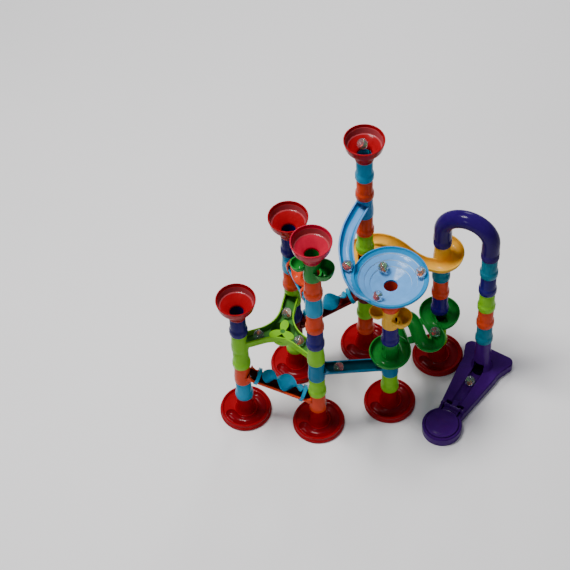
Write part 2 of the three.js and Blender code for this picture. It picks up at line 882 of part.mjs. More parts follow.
const launcher = new THREE.Group();
launcher.position.set(towers.lift.x, towers.lift.y, 0);
launcher.rotation.z = LAUNCHER_ANGLE;
run.add(launcher);

// The plan of the plate: a round end, a tapering middle hollowed out for the base next to it, two lobes.
function launcherOutline() {
  const LOBE = { x: -22, y: 29, r: 11 };
  const hollow = towers.right.clone().sub(towers.lift).rotateAround(new THREE.Vector2(), -LAUNCHER_ANGLE);
  const HOLLOW_R = BASE_R + 1.2;
  const rad = THREE.MathUtils.degToRad;
  const neck = Math.PI - Math.asin(NECK_HALF / ROUND_R);
  const shape = new THREE.Shape();
  shape.absarc(PAD_X, 0, ROUND_R, -neck, neck);
  shape.absarc(hollow.x, -hollow.y, HOLLOW_R, rad(-86), rad(-120), true);
  shape.absarc(LOBE.x, LOBE.y, LOBE.r, rad(50), rad(180));
  shape.absarc(LOBE.x, -LOBE.y, LOBE.r, rad(180), rad(310));
  shape.absarc(hollow.x, hollow.y, HOLLOW_R, rad(120), rad(86), true);
  return shape;
}

function launcherBody() {
  const EAR = [7, 4, 9];
  const WINDOW = 2 * MARBLE_R + 0.6; // square window in the foot of the stem
  const WINDOW_H = 20;
  const stem = turned([
    [0, 0],
    [COLLAR_R + 3.5, 0],
    [COLLAR_R + 3.5, DECK_H],
    [COLLAR_R, DECK_H + 8],
    [TUBE_R, LIFT_TOP],
    [TUBE_R, LIFT_TOP + PLUG - GAP],
    [0, LIFT_TOP + PLUG - GAP],
  ]).rotate([0, 0, -THREE.MathUtils.radToDeg(LAUNCHER_ANGLE)]);
  const lane = new TrackPath([new THREE.Vector3(0, 0, LANE_START), new THREE.Vector3(HINGE_X - 4, 0, LANE_END)]);
  const laneTop = new TrackPath([
    new THREE.Vector3(COLLAR_R + 3.6, 0, LANE_START),
    new THREE.Vector3(HINGE_X - 4, 0, LANE_END),
  ]);
  const ears = [-1, 1].map((side) => block(EAR, [HINGE_X, side * (NECK_HALF - EAR[1] / 2), DECK_H + 1]));
  const neckSpace = block(
    [PAD_X - HINGE_X + 10, 2 * (NECK_HALF - EAR[1]) - 1, DECK_H + 10],
    [(PAD_X + HINGE_X) / 2 - 5, 0, DECK_H / 2 + 7],
  );
  const pinHole = rod(PIN_R + 0.3, -NECK_HALF - 2, NECK_HALF + 2, 8)
    .rotate([90, 0, 0])
    .translate([HINGE_X, 0, HINGE_Z]);
  return joined([slab(launcherOutline(), 0, DECK_H, 6), stem, ...ears])
    .subtract(swept(disc(CHANNEL_R), lane, 1, 6))
    .subtract(swept(marbleSpace(CHANNEL_R), laneTop, 1))
    .subtract(rod(PAD_R + 1, 2, DECK_H + 1, 20).translate([PAD_X, 0, 0]))
    .subtract(neckSpace)
    .subtract(block([22, WINDOW, WINDOW_H], [11, 0, DECK_H - 3 + WINDOW_H / 2]))
    .subtract(pinHole)
    .subtract(rod(BORE_R, LANE_START, LIFT_TOP + PLUG));
}

// The see-saw lever: a round pad to strike, a hub on the pin and a tongue that kicks the marble.
function leverSolid() {
  const PAD_LOW = 12;
  const halfNeck = NECK_HALF - 6;
  const hub = rod(4, -halfNeck, halfNeck, 10).rotate([90, 0, 0]).translate([HINGE_X, 0, HINGE_Z]);
  const pad = turned(
    [
      [0, PAD_LOW],
      [PAD_R - 2, PAD_LOW],
      [PAD_R, PAD_LOW + 2],
      [PAD_R, PAD_LOW + 4.5],
      [PAD_R - 2, PAD_LOW + 6],
      [PAD_R - 6, PAD_LOW + 4.6],
      [0, PAD_LOW + 4],
    ],
    20,
  ).translate([PAD_X, 0, 0]);
  const arm = block([PAD_X - HINGE_X - 8, 2 * halfNeck - 2, 4], [(PAD_X + HINGE_X) / 2 - 3, 0, PAD_LOW + 2.2]);
  const tongue = block([13, 8, 3], [HINGE_X - 7, 0, HINGE_Z - 1.5]);
  const hole = rod(PIN_R + 0.3, -NECK_HALF, NECK_HALF, 8).rotate([90, 0, 0]).translate([HINGE_X, 0, HINGE_Z]);
  return joined([hub, pad, arm, tongue]).subtract(hole);
}

place("launcher_body", launcherBody(), colours.indigo, launcher);
place("launcher_lever", leverSolid(), colours.indigo, launcher);
place(
  "launcher_pin",
  rod(PIN_R, -PIN_LENGTH / 2, PIN_LENGTH / 2, 8).rotate([90, 0, 0]).translate([HINGE_X, 0, HINGE_Z]),
  colours.indigo,
  launcher,
);

// ---------------------------------------------------------------- marbles

const marble = solidOf(new THREE.SphereGeometry(MARBLE_R, 12, 7));
const glass = { roughness: 0.05, metalness: 0 };

// A marble rests just above the floor of a channel whose inside radius is a little larger than its own.
const REST_DROP = CHANNEL_R - MARBLE_R - GAP;

const channelMarble = at("front_left", joint(2) + CHANNEL_Z).lerp(at("front_right", joint(1) + CHANNEL_Z), 0.3);
place("marble_channel", marble, colours.glass, run, glass).position.set(
  channelMarble.x,
  channelMarble.y,
  channelMarble.z - REST_DROP,
);

const WHIRL_MARBLE_R = 42;
const WHIRL_MARBLE_Z = joint(WHIRL_K) + 35.6;
const WHIRL_MARBLE_ANGLE = THREE.MathUtils.degToRad(-11);
place("marble_whirl", marble, colours.glass, run, glass).position.set(
  towers.front_right.x + WHIRL_MARBLE_R * Math.cos(WHIRL_MARBLE_ANGLE),
  towers.front_right.y + WHIRL_MARBLE_R * Math.sin(WHIRL_MARBLE_ANGLE),
  WHIRL_MARBLE_Z,
);

const LAUNCH_MARBLE_X = 38;
const launchMarbleZ = THREE.MathUtils.lerp(LANE_START, LANE_END, LAUNCH_MARBLE_X / (HINGE_X - 4)) - REST_DROP;
place("marble_launcher", marble, colours.glass, launcher, glass).position.set(LAUNCH_MARBLE_X, 0, launchMarbleZ);

// The run's own frame has its origin at the middle of its footprint, on the table.
const box = new THREE.Box3().setFromObject(run, true);
const middle = box.getCenter(new THREE.Vector3());
run.position.set(-middle.x, -middle.y, -box.min.z);

export default run;
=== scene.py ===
"""The looks of a marble run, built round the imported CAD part: moulded plastic pieces and glass marbles."""

import json
import math
import random

import bpy
from mathutils import Matrix, Vector


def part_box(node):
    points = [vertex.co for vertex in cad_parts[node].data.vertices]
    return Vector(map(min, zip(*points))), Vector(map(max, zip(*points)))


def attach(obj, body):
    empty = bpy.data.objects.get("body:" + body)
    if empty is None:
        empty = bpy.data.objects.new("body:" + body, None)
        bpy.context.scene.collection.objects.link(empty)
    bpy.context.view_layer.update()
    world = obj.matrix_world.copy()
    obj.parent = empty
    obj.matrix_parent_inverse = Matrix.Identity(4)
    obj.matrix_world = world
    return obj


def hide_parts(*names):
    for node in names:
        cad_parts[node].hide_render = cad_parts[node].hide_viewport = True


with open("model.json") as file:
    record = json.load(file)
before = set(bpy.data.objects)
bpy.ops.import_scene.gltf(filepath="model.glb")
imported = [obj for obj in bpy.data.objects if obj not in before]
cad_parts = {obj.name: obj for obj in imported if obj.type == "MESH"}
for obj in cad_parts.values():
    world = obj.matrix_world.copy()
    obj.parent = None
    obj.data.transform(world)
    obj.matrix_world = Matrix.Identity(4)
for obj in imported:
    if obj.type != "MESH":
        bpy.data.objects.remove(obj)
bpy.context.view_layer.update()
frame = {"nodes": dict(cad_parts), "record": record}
scene = bpy.context.scene

# ---------------------------------------------------------------- dimensions in millimetres

MARBLE_R = 7.8
GAP = 0.3
UNIT = 40
PLUG = 8
TUBE_R = 11.75
BORE_R = 10.15
COLLAR_R = 13.5
COLLAR_H = 11
END_R = 12.9
SOCKET_R = TUBE_R + GAP
TOP = UNIT + PLUG - GAP
BASE_R = 39.25
BASE_H = 10.3
BASE_TOP = 42
LIFT_TOP = BASE_TOP + UNIT
CHANNEL_R = 8.8
CHANNEL_WALL = 1.5
CHANNEL_RIM = 1.5
CHANNEL_Z = 20
BOWL_R = 30
BOWL_TRACK_R = BOWL_R - CHANNEL_WALL - CHANNEL_R + 0.4
FUNNEL_R = 28.9
FUNNEL_H = 38.9
WHIRL_R = 53.6
WHIRL_H = 33.6
WHIRL_K = 6
SPACING = 113.3
LIFT_STEP = 71.7
ROUND = 48
METRE = 1000
UP = Vector((0, 0, 1))


def joint(k):
    return BASE_TOP + k * UNIT


# The towers' places in the row frame come from the CAD's own nodes.
def centre_of(node):
    low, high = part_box(node)
    return (low + high) / 2 * METRE


towers = {}
for tower in ("left", "front_left", "back_left", "back_right", "front_right", "right"):
    spot = centre_of("base_" + tower)
    towers[tower] = Vector((spot.x, spot.y, 0))
spot = centre_of("tube_lift_1")
towers["lift"] = Vector((spot.x, spot.y, 0))
plan_origin = (towers["front_left"] + towers["back_right"]) / 2


def planned(x, y, z):
    """A point given from the middle of the towers' square."""
    return Vector((plan_origin.x + x, plan_origin.y + y, z))


def at(tower, z):
    return Vector((towers[tower].x, towers[tower].y, z))


# ---------------------------------------------------------------- meshes


def solid(vertices, faces, name="piece"):
    mesh = bpy.data.meshes.new(name)
    mesh.from_pydata([tuple(v) for v in vertices], [], faces)
    mesh.update()
    obj = bpy.data.objects.new(name, mesh)
    scene.collection.objects.link(obj)
    return obj


def revolve(profile, sides=None, place=(0, 0, 0)):
    """A closed profile of (radius, height) pairs, anticlockwise, turned about Z."""
    sides = sides or ROUND
    vertices, rings = [], []
    for r, z in profile:
        if r < 1e-6:
            rings.append([len(vertices)] * sides)
            vertices.append(Vector((0, 0, z)))
        else:
            rings.append(list(range(len(vertices), len(vertices) + sides)))
            for j in range(sides):
                angle = 2 * math.pi * j / sides
                vertices.append(Vector((r * math.cos(angle), r * math.sin(angle), z)))
    faces = []
    for a, b in zip(rings, rings[1:] + rings[:1]):
        if a[0] == a[1] and b[0] == b[1]:
            continue
        for j in range(sides):
            k = (j + 1) % sides
            corners = [a[j], a[k], b[k], b[j]]
            face = [c for i, c in enumerate(corners) if c not in corners[:i]]
            faces.append(face)
    offset = Vector(place)
    return solid([v + offset for v in vertices], faces)


def rod(radius, low, high, place=(0, 0, 0), sides=None):
    return revolve([(0, low), (radius, low), (radius, high), (0, high)], sides, place)


def block(size, centre, turn=0):
    sx, sy, sz = (s / 2 for s in size)
    corners = [Vector((x, y, z)) for x in (-sx, sx) for y in (-sy, sy) for z in (-sz, sz)]
    spin = Matrix.Rotation(turn, 3, "Z")
    vertices = [spin @ c + Vector(centre) for c in corners]
    faces = [(0, 1, 3, 2), (4, 6, 7, 5), (0, 4, 5, 1), (2, 3, 7, 6), (0, 2, 6, 4), (1, 5, 7, 3)]
    return solid(vertices, faces)


def smooth_path(points, count):
    """Evenly spaced points on a centripetal spline through the given points."""
    ends = [points[0] * 2 - points[1], *points, points[-1] * 2 - points[-2]]
    dense = []
    for i in range(len(points) - 1):
        p0, p1, p2, p3 = ends[i : i + 4]
        t1 = (p1 - p0).length ** 0.5
        t2 = t1 + (p2 - p1).length ** 0.5
        t3 = t2 + (p3 - p2).length ** 0.5
        for j in range(16):
            t = t1 + (t2 - t1) * j / 16
            a1 = p0.lerp(p1, t / t1)
            a2 = p1.lerp(p2, (t - t1) / (t2 - t1))
            a3 = p2.lerp(p3, (t - t2) / (t3 - t2))
            b1 = a1.lerp(a2, t / t2)
            b2 = a2.lerp(a3, (t - t1) / (t3 - t1))
            dense.append(b1.lerp(b2, (t - t1) / (t2 - t1)))
    dense.append(points[-1].copy())
    lengths = [0]
    for a, b in zip(dense, dense[1:]):
        lengths.append(lengths[-1] + (b - a).length)
    even, k = [], 0
    for i in range(count + 1):
        s = lengths[-1] * i / count
        while k < len(dense) - 2 and lengths[k + 1] < s:
            k += 1
        share = (s - lengths[k]) / max(lengths[k + 1] - lengths[k], 1e-9)
        even.append(dense[k].lerp(dense[k + 1], min(max(share, 0), 1)))
    return even


def sweep(section, path, sideways=None):
    """An anticlockwise section (left, up) carried along a path, upright all the way."""
    vertices, faces, n = [], [], len(section)
    for i, point in enumerate(path):
        before_it, after_it = path[max(i - 1, 0)], path[min(i + 1, len(path) - 1)]
        tangent = (after_it - before_it).normalized()
        side = sideways.copy() if sideways else UP.cross(tangent).normalized()
        top = tangent.cross(side)
        vertices += [point + side * x + top * y for x, y in section]
    for i in range(len(path) - 1):
        for j in range(n):
            k = (j + 1) % n
            faces.append((i * n + j, i * n + k, (i + 1) * n + k, (i + 1) * n + j))
    faces.append(tuple(reversed(range(n))))
    last = (len(path) - 1) * n
    faces.append(tuple(range(last, last + n)))
    return solid(vertices, faces)


def arc_points(cx, cy, radius, start, end, count):
    return [
        (
            cx + radius * math.cos(math.radians(start + (end - start) * i / count)),
            cy + radius * math.sin(math.radians(start + (end - start) * i / count)),
        )
        for i in range(count + 1)
    ]


def disc(radius, count=28):
    return arc_points(0, 0, radius, 0, 360, count)[:-1]


def channel_section(rim=CHANNEL_RIM):
    """The outside of a channel, with a small rolled bead along each edge."""
    outer = CHANNEL_R + CHANNEL_WALL
    bead = 0.55
    right = [(outer + bead, rim - 1.2), (outer + bead, rim - 0.3), (outer, rim)]
    left = [(-outer, rim), (-outer - bead, rim - 0.3), (-outer - bead, rim - 1.2)]
    return arc_points(0, 0, outer, 190, 350, 18) + [(outer, rim - 1.8)] + right + left + [(-outer, rim - 1.8)]


def marble_space(top):
    return [(-CHANNEL_R, top)] + arc_points(0, 0, CHANNEL_R, 180, 360, 18) + [(CHANNEL_R, top)]


def slab(outline, low, high, place=(0, 0, 0)):
    n = len(outline)
    offset = Vector(place)
    vertices = [Vector((x, y, low)) + offset for x, y in outline]
    vertices += [Vector((x, y, high)) + offset for x, y in outline]
    faces = [tuple(reversed(range(n))), tuple(range(n, 2 * n))]
    faces += [(i, (i + 1) % n, n + (i + 1) % n, n + i) for i in range(n)]
    return solid(vertices, faces)


def baked(obj):
    bpy.context.view_layer.update()
    evaluated = obj.evaluated_get(bpy.context.evaluated_depsgraph_get())
    mesh = bpy.data.meshes.new_from_object(evaluated)
    obj.modifiers.clear()
    obj.data = mesh
    return obj


def combine(target, others, operation):
    for other in others:
        modifier = target.modifiers.new("combine", "BOOLEAN")
        modifier.operation = operation
        modifier.solver = "MANIFOLD"
        modifier.object = other
    baked(target)
    for other in others:
        bpy.data.objects.remove(other)
    return target


def joined(pieces):
    return combine(pieces[0], pieces[1:], "UNION")


def cut(target, tools):
    return combine(target, tools, "DIFFERENCE")


def moved(obj, matrix):
    obj.data.transform(matrix)
    return obj


def copy_of(obj, matrix):
    twin = bpy.data.objects.new("copy", obj.data.copy())
    scene.collection.objects.link(twin)
    return moved(twin, matrix)


def shift(x, y, z):
    return Matrix.Translation((x, y, z))


# ---------------------------------------------------------------- materials

COLOURS = {
    "red": (0.27, 0.002, 0.006),
    "crimson": (0.38, 0.006, 0.028),
    # painted light: the paler, lit-looking band inside the funnels
    "lit_funnel_band": (0.33, 0.045, 0.055),
    "navy": (0.009, 0.003, 0.12),
    "purple": (0.014, 0.0005, 0.15),
    "indigo": (0.048, 0.003, 0.14),
    "midnight": (0.014, 0.001, 0.09),
    "lime": (0.18, 0.48, 0.01),
    "cyan": (0.004, 0.24, 0.42),
    "teal": (0.003, 0.15, 0.22),
    "orange": (0.58, 0.045, 0.01),
    "green": (0.01, 0.2, 0.025),
    "yellow": (0.76, 0.4, 0.03),
    "blue": (0.004, 0.13, 0.25),
    # painted shade: the deeper blue on the whirl bowl's walls, rim and underside
    "whirl_shade": (0.008, 0.21, 0.46),
    "sky": (0.11, 0.32, 0.66),
    # painted highlight: the near-white risers of the whirl bowl's ledges
    "ledge_highlight": (0.6, 0.8, 0.95),
    "dark_red": (0.11, 0.004, 0.004),
    # painted shade: the darker red inside the bases' grooves
    "groove_shade": (0.17, 0.001, 0.005),
    # painted shade: the darker orange inside the orange ramp's channel
    "orange_channel_shade": (0.07, 0.006, 0.003),
    # painted shade: the darker blue inside the straight channel
    "channel_shade": (0.003, 0.05, 0.075),
    # painted shade: the darker green in the three-way's arms and well
    "junction_shade": (0.045, 0.17, 0.03),
    # painted shade: the near-black inside of the lift tube's window
    "window_shade": (0.003, 0.0005, 0.012),
}


class Nodes:
    """Short spelling for building a material's node tree."""

    def __init__(self, name):
        self.material = bpy.data.materials.new(name)
        self.material.use_nodes = True
        self.tree = self.material.node_tree
        self.shader = self.tree.nodes["Principled BSDF"]

    def add(self, kind, **values):
        node = self.tree.nodes.new(kind)
        for key, value in values.items():
            if hasattr(node, key):
                setattr(node, key, value)
            else:
                node.inputs[key.replace("_", " ")].default_value = value
        return node

    def link(self, source, socket):
        self.tree.links.new(source, socket)


PLASTIC_SURFACE = {
    "IOR": 1.5,
    "Specular IOR Level": 0.04,
    "Coat Weight": 0.11,
    "Coat Roughness": 0.06,
    "Subsurface Weight": 0.03,
    "Subsurface Radius": (0.004, 0.003, 0.002),
    "Subsurface Scale": 0.5,
}


def plastic(name, colour):
    """Injection-moulded plastic: faint flow marks, uneven gloss, orange peel and softened edges."""
    n = Nodes("plastic_" + name)
    place = n.add("ShaderNodeTexCoord")
    flow = n.add("ShaderNodeTexNoise", Scale=38, Detail=5, Roughness=0.6, Distortion=0.8)
    n.link(place.outputs["Object"], flow.inputs["Vector"])
    tint = n.add("ShaderNodeValToRGB")
    tint.color_ramp.elements[0].position = 0.3
    tint.color_ramp.elements[0].color = (*(c * 0.86 for c in colour), 1)
    tint.color_ramp.elements[1].position = 0.72
    tint.color_ramp.elements[1].color = (*(min(1, c * 1.1 + 0.003) for c in colour), 1)
    n.link(flow.outputs["Fac"], tint.inputs["Fac"])
    n.link(tint.outputs["Color"], n.shader.inputs["Base Color"])
    scuff = n.add("ShaderNodeTexNoise", Scale=210, Detail=4, Roughness=0.7)
    n.link(place.outputs["Object"], scuff.inputs["Vector"])
    gloss = n.add("ShaderNodeMapRange", From_Min=0.3, From_Max=0.75, To_Min=0.19, To_Max=0.26)
    n.link(scuff.outputs["Fac"], gloss.inputs["Value"])
    n.link(gloss.outputs["Result"], n.shader.inputs["Roughness"])
    peel = n.add("ShaderNodeTexNoise", Scale=520, Detail=2)
    n.link(place.outputs["Object"], peel.inputs["Vector"])
    edge = n.add("ShaderNodeBevel", samples=4, Radius=0.00045)
    bump = n.add("ShaderNodeBump", Strength=0.025, Distance=0.0004)
    n.link(peel.outputs["Fac"], bump.inputs["Height"])
    n.link(edge.outputs["Normal"], bump.inputs["Normal"])
    n.link(bump.outputs["Normal"], n.shader.inputs["Normal"])
    for setting, value in PLASTIC_SURFACE.items():
        n.shader.inputs[setting].default_value = value
    return n.material


def glass():
    """Clear marble glass with a faint blue cast and a few seed bubbles."""
    n = Nodes("marble_glass")
    place = n.add("ShaderNodeTexCoord")
    cloud = n.add("ShaderNodeTexNoise", Scale=160, Detail=3)
    n.link(place.outputs["Object"], cloud.inputs["Vector"])
    tint = n.add("ShaderNodeValToRGB")
    tint.color_ramp.elements[0].position = 0.35
    tint.color_ramp.elements[0].color = (0.8, 0.92, 0.97, 1)
    tint.color_ramp.elements[1].position = 0.65
    tint.color_ramp.elements[1].color = (0.93, 0.98, 1, 1)
    n.link(cloud.outputs["Fac"], tint.inputs["Fac"])
    n.link(tint.outputs["Color"], n.shader.inputs["Base Color"])
    seeds = n.add("ShaderNodeTexVoronoi", Scale=420)
    n.link(place.outputs["Object"], seeds.inputs["Vector"])
    bump = n.add("ShaderNodeBump", Strength=0.03, Distance=0.0003)
    n.link(seeds.outputs["Distance"], bump.inputs["Height"])
    n.link(bump.outputs["Normal"], n.shader.inputs["Normal"])
    n.shader.inputs["Roughness"].default_value = 0.02
    n.shader.inputs["IOR"].default_value = 1.45
    n.shader.inputs["Transmission Weight"].default_value = 0.93
    return n.material


plastics = {name: plastic(name, colour) for name, colour in COLOURS.items()}
clear = glass()
ribbons = [
    plastic("ribbon_" + name, colour)
    for name, colour in (
        ("red", (0.5, 0.02, 0.012)),
        ("green", (0.08, 0.25, 0.07)),
        ("orange", (0.6, 0.14, 0.02)),
        ("cream", (0.7, 0.6, 0.36)),
    )
]

# ---------------------------------------------------------------- finishing a piece

def shown(obj, name, slot, body="run", nodes=(), angle=38, material=None):
    """Puts a piece built in millimetres in the row frame, with its material, its body and its CAD nodes."""
    obj.data.transform(Matrix.Scale(1 / METRE, 4))
    obj.name = name
    obj.data.name = name
    obj.data.materials.clear()
    obj.data.materials.append(material or plastics[slot])
    obj.data.shade_smooth()
    obj.data.set_sharp_from_angle(angle=math.radians(angle))
    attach(obj, body)
    if nodes:
        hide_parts(*nodes)
    return obj


def tint(obj, slot, picked):
    """A second plastic on the faces that the test picks by their middle, in mm, and their normal."""
    obj.data.materials.append(plastics[slot])
    index = len(obj.data.materials) - 1
    for face in obj.data.polygons:
        if picked(face.center * METRE, face.normal):
            face.material_index = index


def in_channel(start, end):
    """Picks the inside of a straight channel, which lies in its own shade."""
    way = (end - start).normalized()

    def picked(middle, normal):
        offset = middle - start
        across = offset - way * offset.dot(way)
        return across.length < CHANNEL_R + 0.3 and normal.dot(across) < 0

    return picked


# ---------------------------------------------------------------- stacked pieces


def bore(low=0.0, place=(0, 0, 0)):
    return rod(BORE_R, low, TOP + 1, place)


def socket(place=(0, 0, 0)):
    chamfered = [(0, -1), (SOCKET_R + 0.5, -1), (SOCKET_R, 0.8), (SOCKET_R, PLUG), (0, PLUG)]
    return revolve(chamfered, place=place)


PLUG_PROFILE = [
    (TUBE_R, TOP - 0.9),
    (TUBE_R - 0.35, TOP - 0.25),
    (TUBE_R - 0.8, TOP),
    (BORE_R + 0.5, TOP),
    (BORE_R, TOP - 0.6),
]


def tube_piece():
    profile = [
        (SOCKET_R + 0.3, 0),
        (COLLAR_R - 0.9, 0),
        (COLLAR_R - 0.3, 0.35),
        (COLLAR_R, 1.2),
        (COLLAR_R, COLLAR_H - 2.4),
        (COLLAR_R - 0.35, COLLAR_H - 0.6),
        (COLLAR_R - 1.1, COLLAR_H + 1),
        (TUBE_R + 0.15, COLLAR_H + 2.2),
        (TUBE_R, COLLAR_H + 3.2),
        *PLUG_PROFILE,
        (BORE_R, PLUG + 0.4),
        (BORE_R + 0.4, PLUG),
        (SOCKET_R, PLUG),
        (SOCKET_R, 0.4),
    ]
    lugs = [block((1.6, 2.6, 2.2), (side * (COLLAR_R - 0.55), 0, 5.6)) for side in (-1, 1)]
    return joined([revolve(profile), *lugs])


def sleeve_piece(place):
    profile = [
        (0, 0),
        (END_R - 0.5, 0),
        (END_R - 0.1, 0.3),
        (END_R, 0.9),
        (END_R, COLLAR_H),
        (END_R - 0.3, COLLAR_H + 4),
        (TUBE_R + 0.2, COLLAR_H + 12),
        (TUBE_R, COLLAR_H + 16),
        (TUBE_R, TOP - 0.9),
        (TUBE_R - 0.35, TOP - 0.25),
        (TUBE_R - 0.8, TOP),
        (0, TOP),
    ]
    return revolve(profile, place=place)


def funnel_piece():
    wall = 1.6
    neck = 11
    outside = [
        (0, 0),
        (COLLAR_R - 0.5, 0),
        (COLLAR_R, 0.7),
        (COLLAR_R, 3),
        (COLLAR_R - 0.4, 3.5),
        (COLLAR_R - 0.4, neck - 1),
        (COLLAR_R + 0.4, neck + 0.4),
        (FUNNEL_R - 5, FUNNEL_H - 16.2),
        (FUNNEL_R - 2.9, FUNNEL_H - 14),
        (FUNNEL_R - 2.2, FUNNEL_H - 12),
        (FUNNEL_R - 0.9, FUNNEL_H - 2.2),
        (FUNNEL_R, FUNNEL_H - 1.8),
        (FUNNEL_R, FUNNEL_H - 0.5),
        (FUNNEL_R - 0.5, FUNNEL_H),
        (0, FUNNEL_H),
    ]
    hollow = [
        (0, neck - 1),
        (BORE_R, neck - 1),
        (BORE_R + 0.2, neck + 0.4),
        (BORE_R + 1.2, neck + 1.4),
        (FUNNEL_R - 4.6 - wall, FUNNEL_H - 15.2),
        (FUNNEL_R - 2.6 - wall, FUNNEL_H - 14.8),
        (FUNNEL_R - 1.2 - wall, FUNNEL_H - 5.2),
        (FUNNEL_R - 0.7 - wall, FUNNEL_H - 4.8),
        (FUNNEL_R - wall, FUNNEL_H + 1),
        (0, FUNNEL_H + 1),
    ]
    sides = ROUND + 16
    return cut(revolve(outside, sides), [revolve(hollow, sides), rod(BORE_R, 0, neck + 1), socket()])


def tint_funnel(obj, tower, foot):
    """Painted light: a paler band runs round the inside of a funnel, between its rim and its cone, as if its
    steep inner wall were lit.
    """
    obj.data.materials.append(plastics["lit_funnel_band"])
    axis = towers[tower] / METRE
    for face in obj.data.polygons:
        outward = face.center.xy - axis.xy
        height = face.center.z * METRE - foot
        if face.normal.xy.dot(outward) < 0 and FUNNEL_H - 15 < height < FUNNEL_H - 5:
            face.material_index = 1


GROOVE_R = 25


def in_groove(tower):
    """Picks the inside of the groove and of the pocket at its end, which get a darker red as painted shade.
    """

    def picked(middle, normal):
        radius = (middle.xy - towers[tower].xy).length
        return abs(radius - GROOVE_R) < CHANNEL_R + 0.5 and 1 < middle.z < BASE_H - 3.2 and normal.z > -0.3

    return picked


def base_piece():
    height = 2.6 + CHANNEL_R
    sides = ROUND + 24
    plate = [
        (0, 0),
        (BASE_R - 0.6, 0),
        (BASE_R, 0.6),
        (BASE_R, 4.4),
        (BASE_R - 0.4, 5),
        (BASE_R - 1.3, 5.4),
        (BASE_R - 1.6, 6),
        (BASE_R - 1.7, BASE_H - 0.7),
        (BASE_R - 2.3, BASE_H),
        (BASE_R - 4.2, BASE_H),
        (BASE_R - 4.8, BASE_H - 0.6),
        (BASE_R - 5.4, BASE_H - 2.4),
        (BASE_R - 6.4, BASE_H - 3),
        (0, BASE_H - 3),
    ]
    stem = [
        (0, 0),
        (COLLAR_R + 2.4, 0),
        (COLLAR_R + 2.4, BASE_H - 2.4),
        (COLLAR_R + 1, BASE_H - 0.6),
        (TUBE_R + 1.6, BASE_H + 3.4),
        (TUBE_R + 1.2, BASE_H + 9),
        (TUBE_R, BASE_TOP),
        (TUBE_R, BASE_TOP + PLUG - GAP - 0.9),
        (TUBE_R - 0.8, BASE_TOP + PLUG - GAP),
        (0, BASE_TOP + PLUG - GAP),
    ]
    points = [Vector((0, 0, height + 2.5))]
    for i in range(7):
        angle = math.radians(40 - 210 * i / 6)
        lift = 1.5 * (1 - i / 6)
        points.append(Vector((GROOVE_R * math.cos(angle), GROOVE_R * math.sin(angle), height + lift)))
    groove = sweep(disc(CHANNEL_R), smooth_path(points, 40))
    end = points[-1]
    dish = [(0, -CHANNEL_R), *arc_points(0, 0, CHANNEL_R, -80, 0, 8), (CHANNEL_R, 12), (0, 12)]
    pocket = revolve(dish, 32, end)
    body = joined([revolve(plate, sides), revolve(stem)])
    return cut(body, [groove, pocket, rod(BORE_R, height + 2.5, BASE_TOP + PLUG + 1)])


# ---------------------------------------------------------------- straight links and ramps


def sleeve_cuts(tower, k, floor=0.0):
    spot = at(tower, joint(k))
    return [bore(floor, spot), socket(spot)]


def straight_link(start_tower, k, end_tower):
    start = at(start_tower, joint(k) + CHANNEL_Z)
    end = at(end_tower, joint(k - 1) + CHANNEL_Z)
    count = 36
    path = [start.lerp(end, i / count) for i in range(count + 1)]
    flares = []
    for origin, direction in ((start, end - start), (end, start - end)):
        way = direction.normalized()
        trumpet = [origin + way * s for s in (10, 12, 14, 17, 20)]
        flares.append((trumpet, (1.9, 1.3, 0.8, 0.3, 0.0)))
    body = [sleeve_piece(at(start_tower, joint(k))), sleeve_piece(at(end_tower, joint(k - 1)))]
    body.append(sweep(channel_section(), path))
    for trumpet, growth in flares:
        body.append(trumpet_piece(trumpet, growth))
    tools = [sweep(disc(CHANNEL_R, 36), path)]
    tools += sleeve_cuts(start_tower, k, CHANNEL_Z) + sleeve_cuts(end_tower, k - 1)
    return cut(joined(body), tools), start, end


def trumpet_piece(points, growth):
    """The channel's wall grows and rises where it meets its sleeve."""
    vertices, faces = [], []
    way = (points[-1] - points[0]).normalized()
    side = UP.cross(way).normalized()
    top = way.cross(side)
    rings = []
    for point, more in zip(points, growth):
        outer = CHANNEL_R + CHANNEL_WALL - 0.1 + more * 0.7
        section = arc_points(0, 0, outer, 180, 360, 18)
        section += [(outer, CHANNEL_RIM + 3.4 * more), (-outer, CHANNEL_RIM + 3.4 * more)]
        rings.append([point + side * x + top * y for x, y in section])
    n = len(rings[0])
    for ring in rings:
        vertices += ring
    for i in range(len(rings) - 1):
        for j in range(n):
            k = (j + 1) % n
            faces.append((i * n + j, i * n + k, (i + 1) * n + k, (i + 1) * n + j))
    faces.append(tuple(reversed(range(n))))
    faces.append(tuple(range((len(rings) - 1) * n, len(rings) * n)))
    return solid(vertices, faces)


AXLE_R = 1.2
AXLE_H = 12.5
CLIP_T = 5
CLIP_REACH = 36
BLADE_R = 13
BLADE_T = 1.7
BLADE_LENGTH = 2 * CLIP_REACH - CLIP_T - 3


def ramp_matrix(start, end, distance, lift=0.0):
    way = (end - start).normalized()
    side = UP.cross(way).normalized()
    top = way.cross(side)
    centre = (start + end) / 2 + way * distance + top * lift
    return Matrix(
        (
            (side.x, top.x, way.x, centre.x),
            (side.y, top.y, way.y, centre.y),
            (side.z, top.z, way.z, centre.z),
            (0, 0, 0, 1),
        )
    )


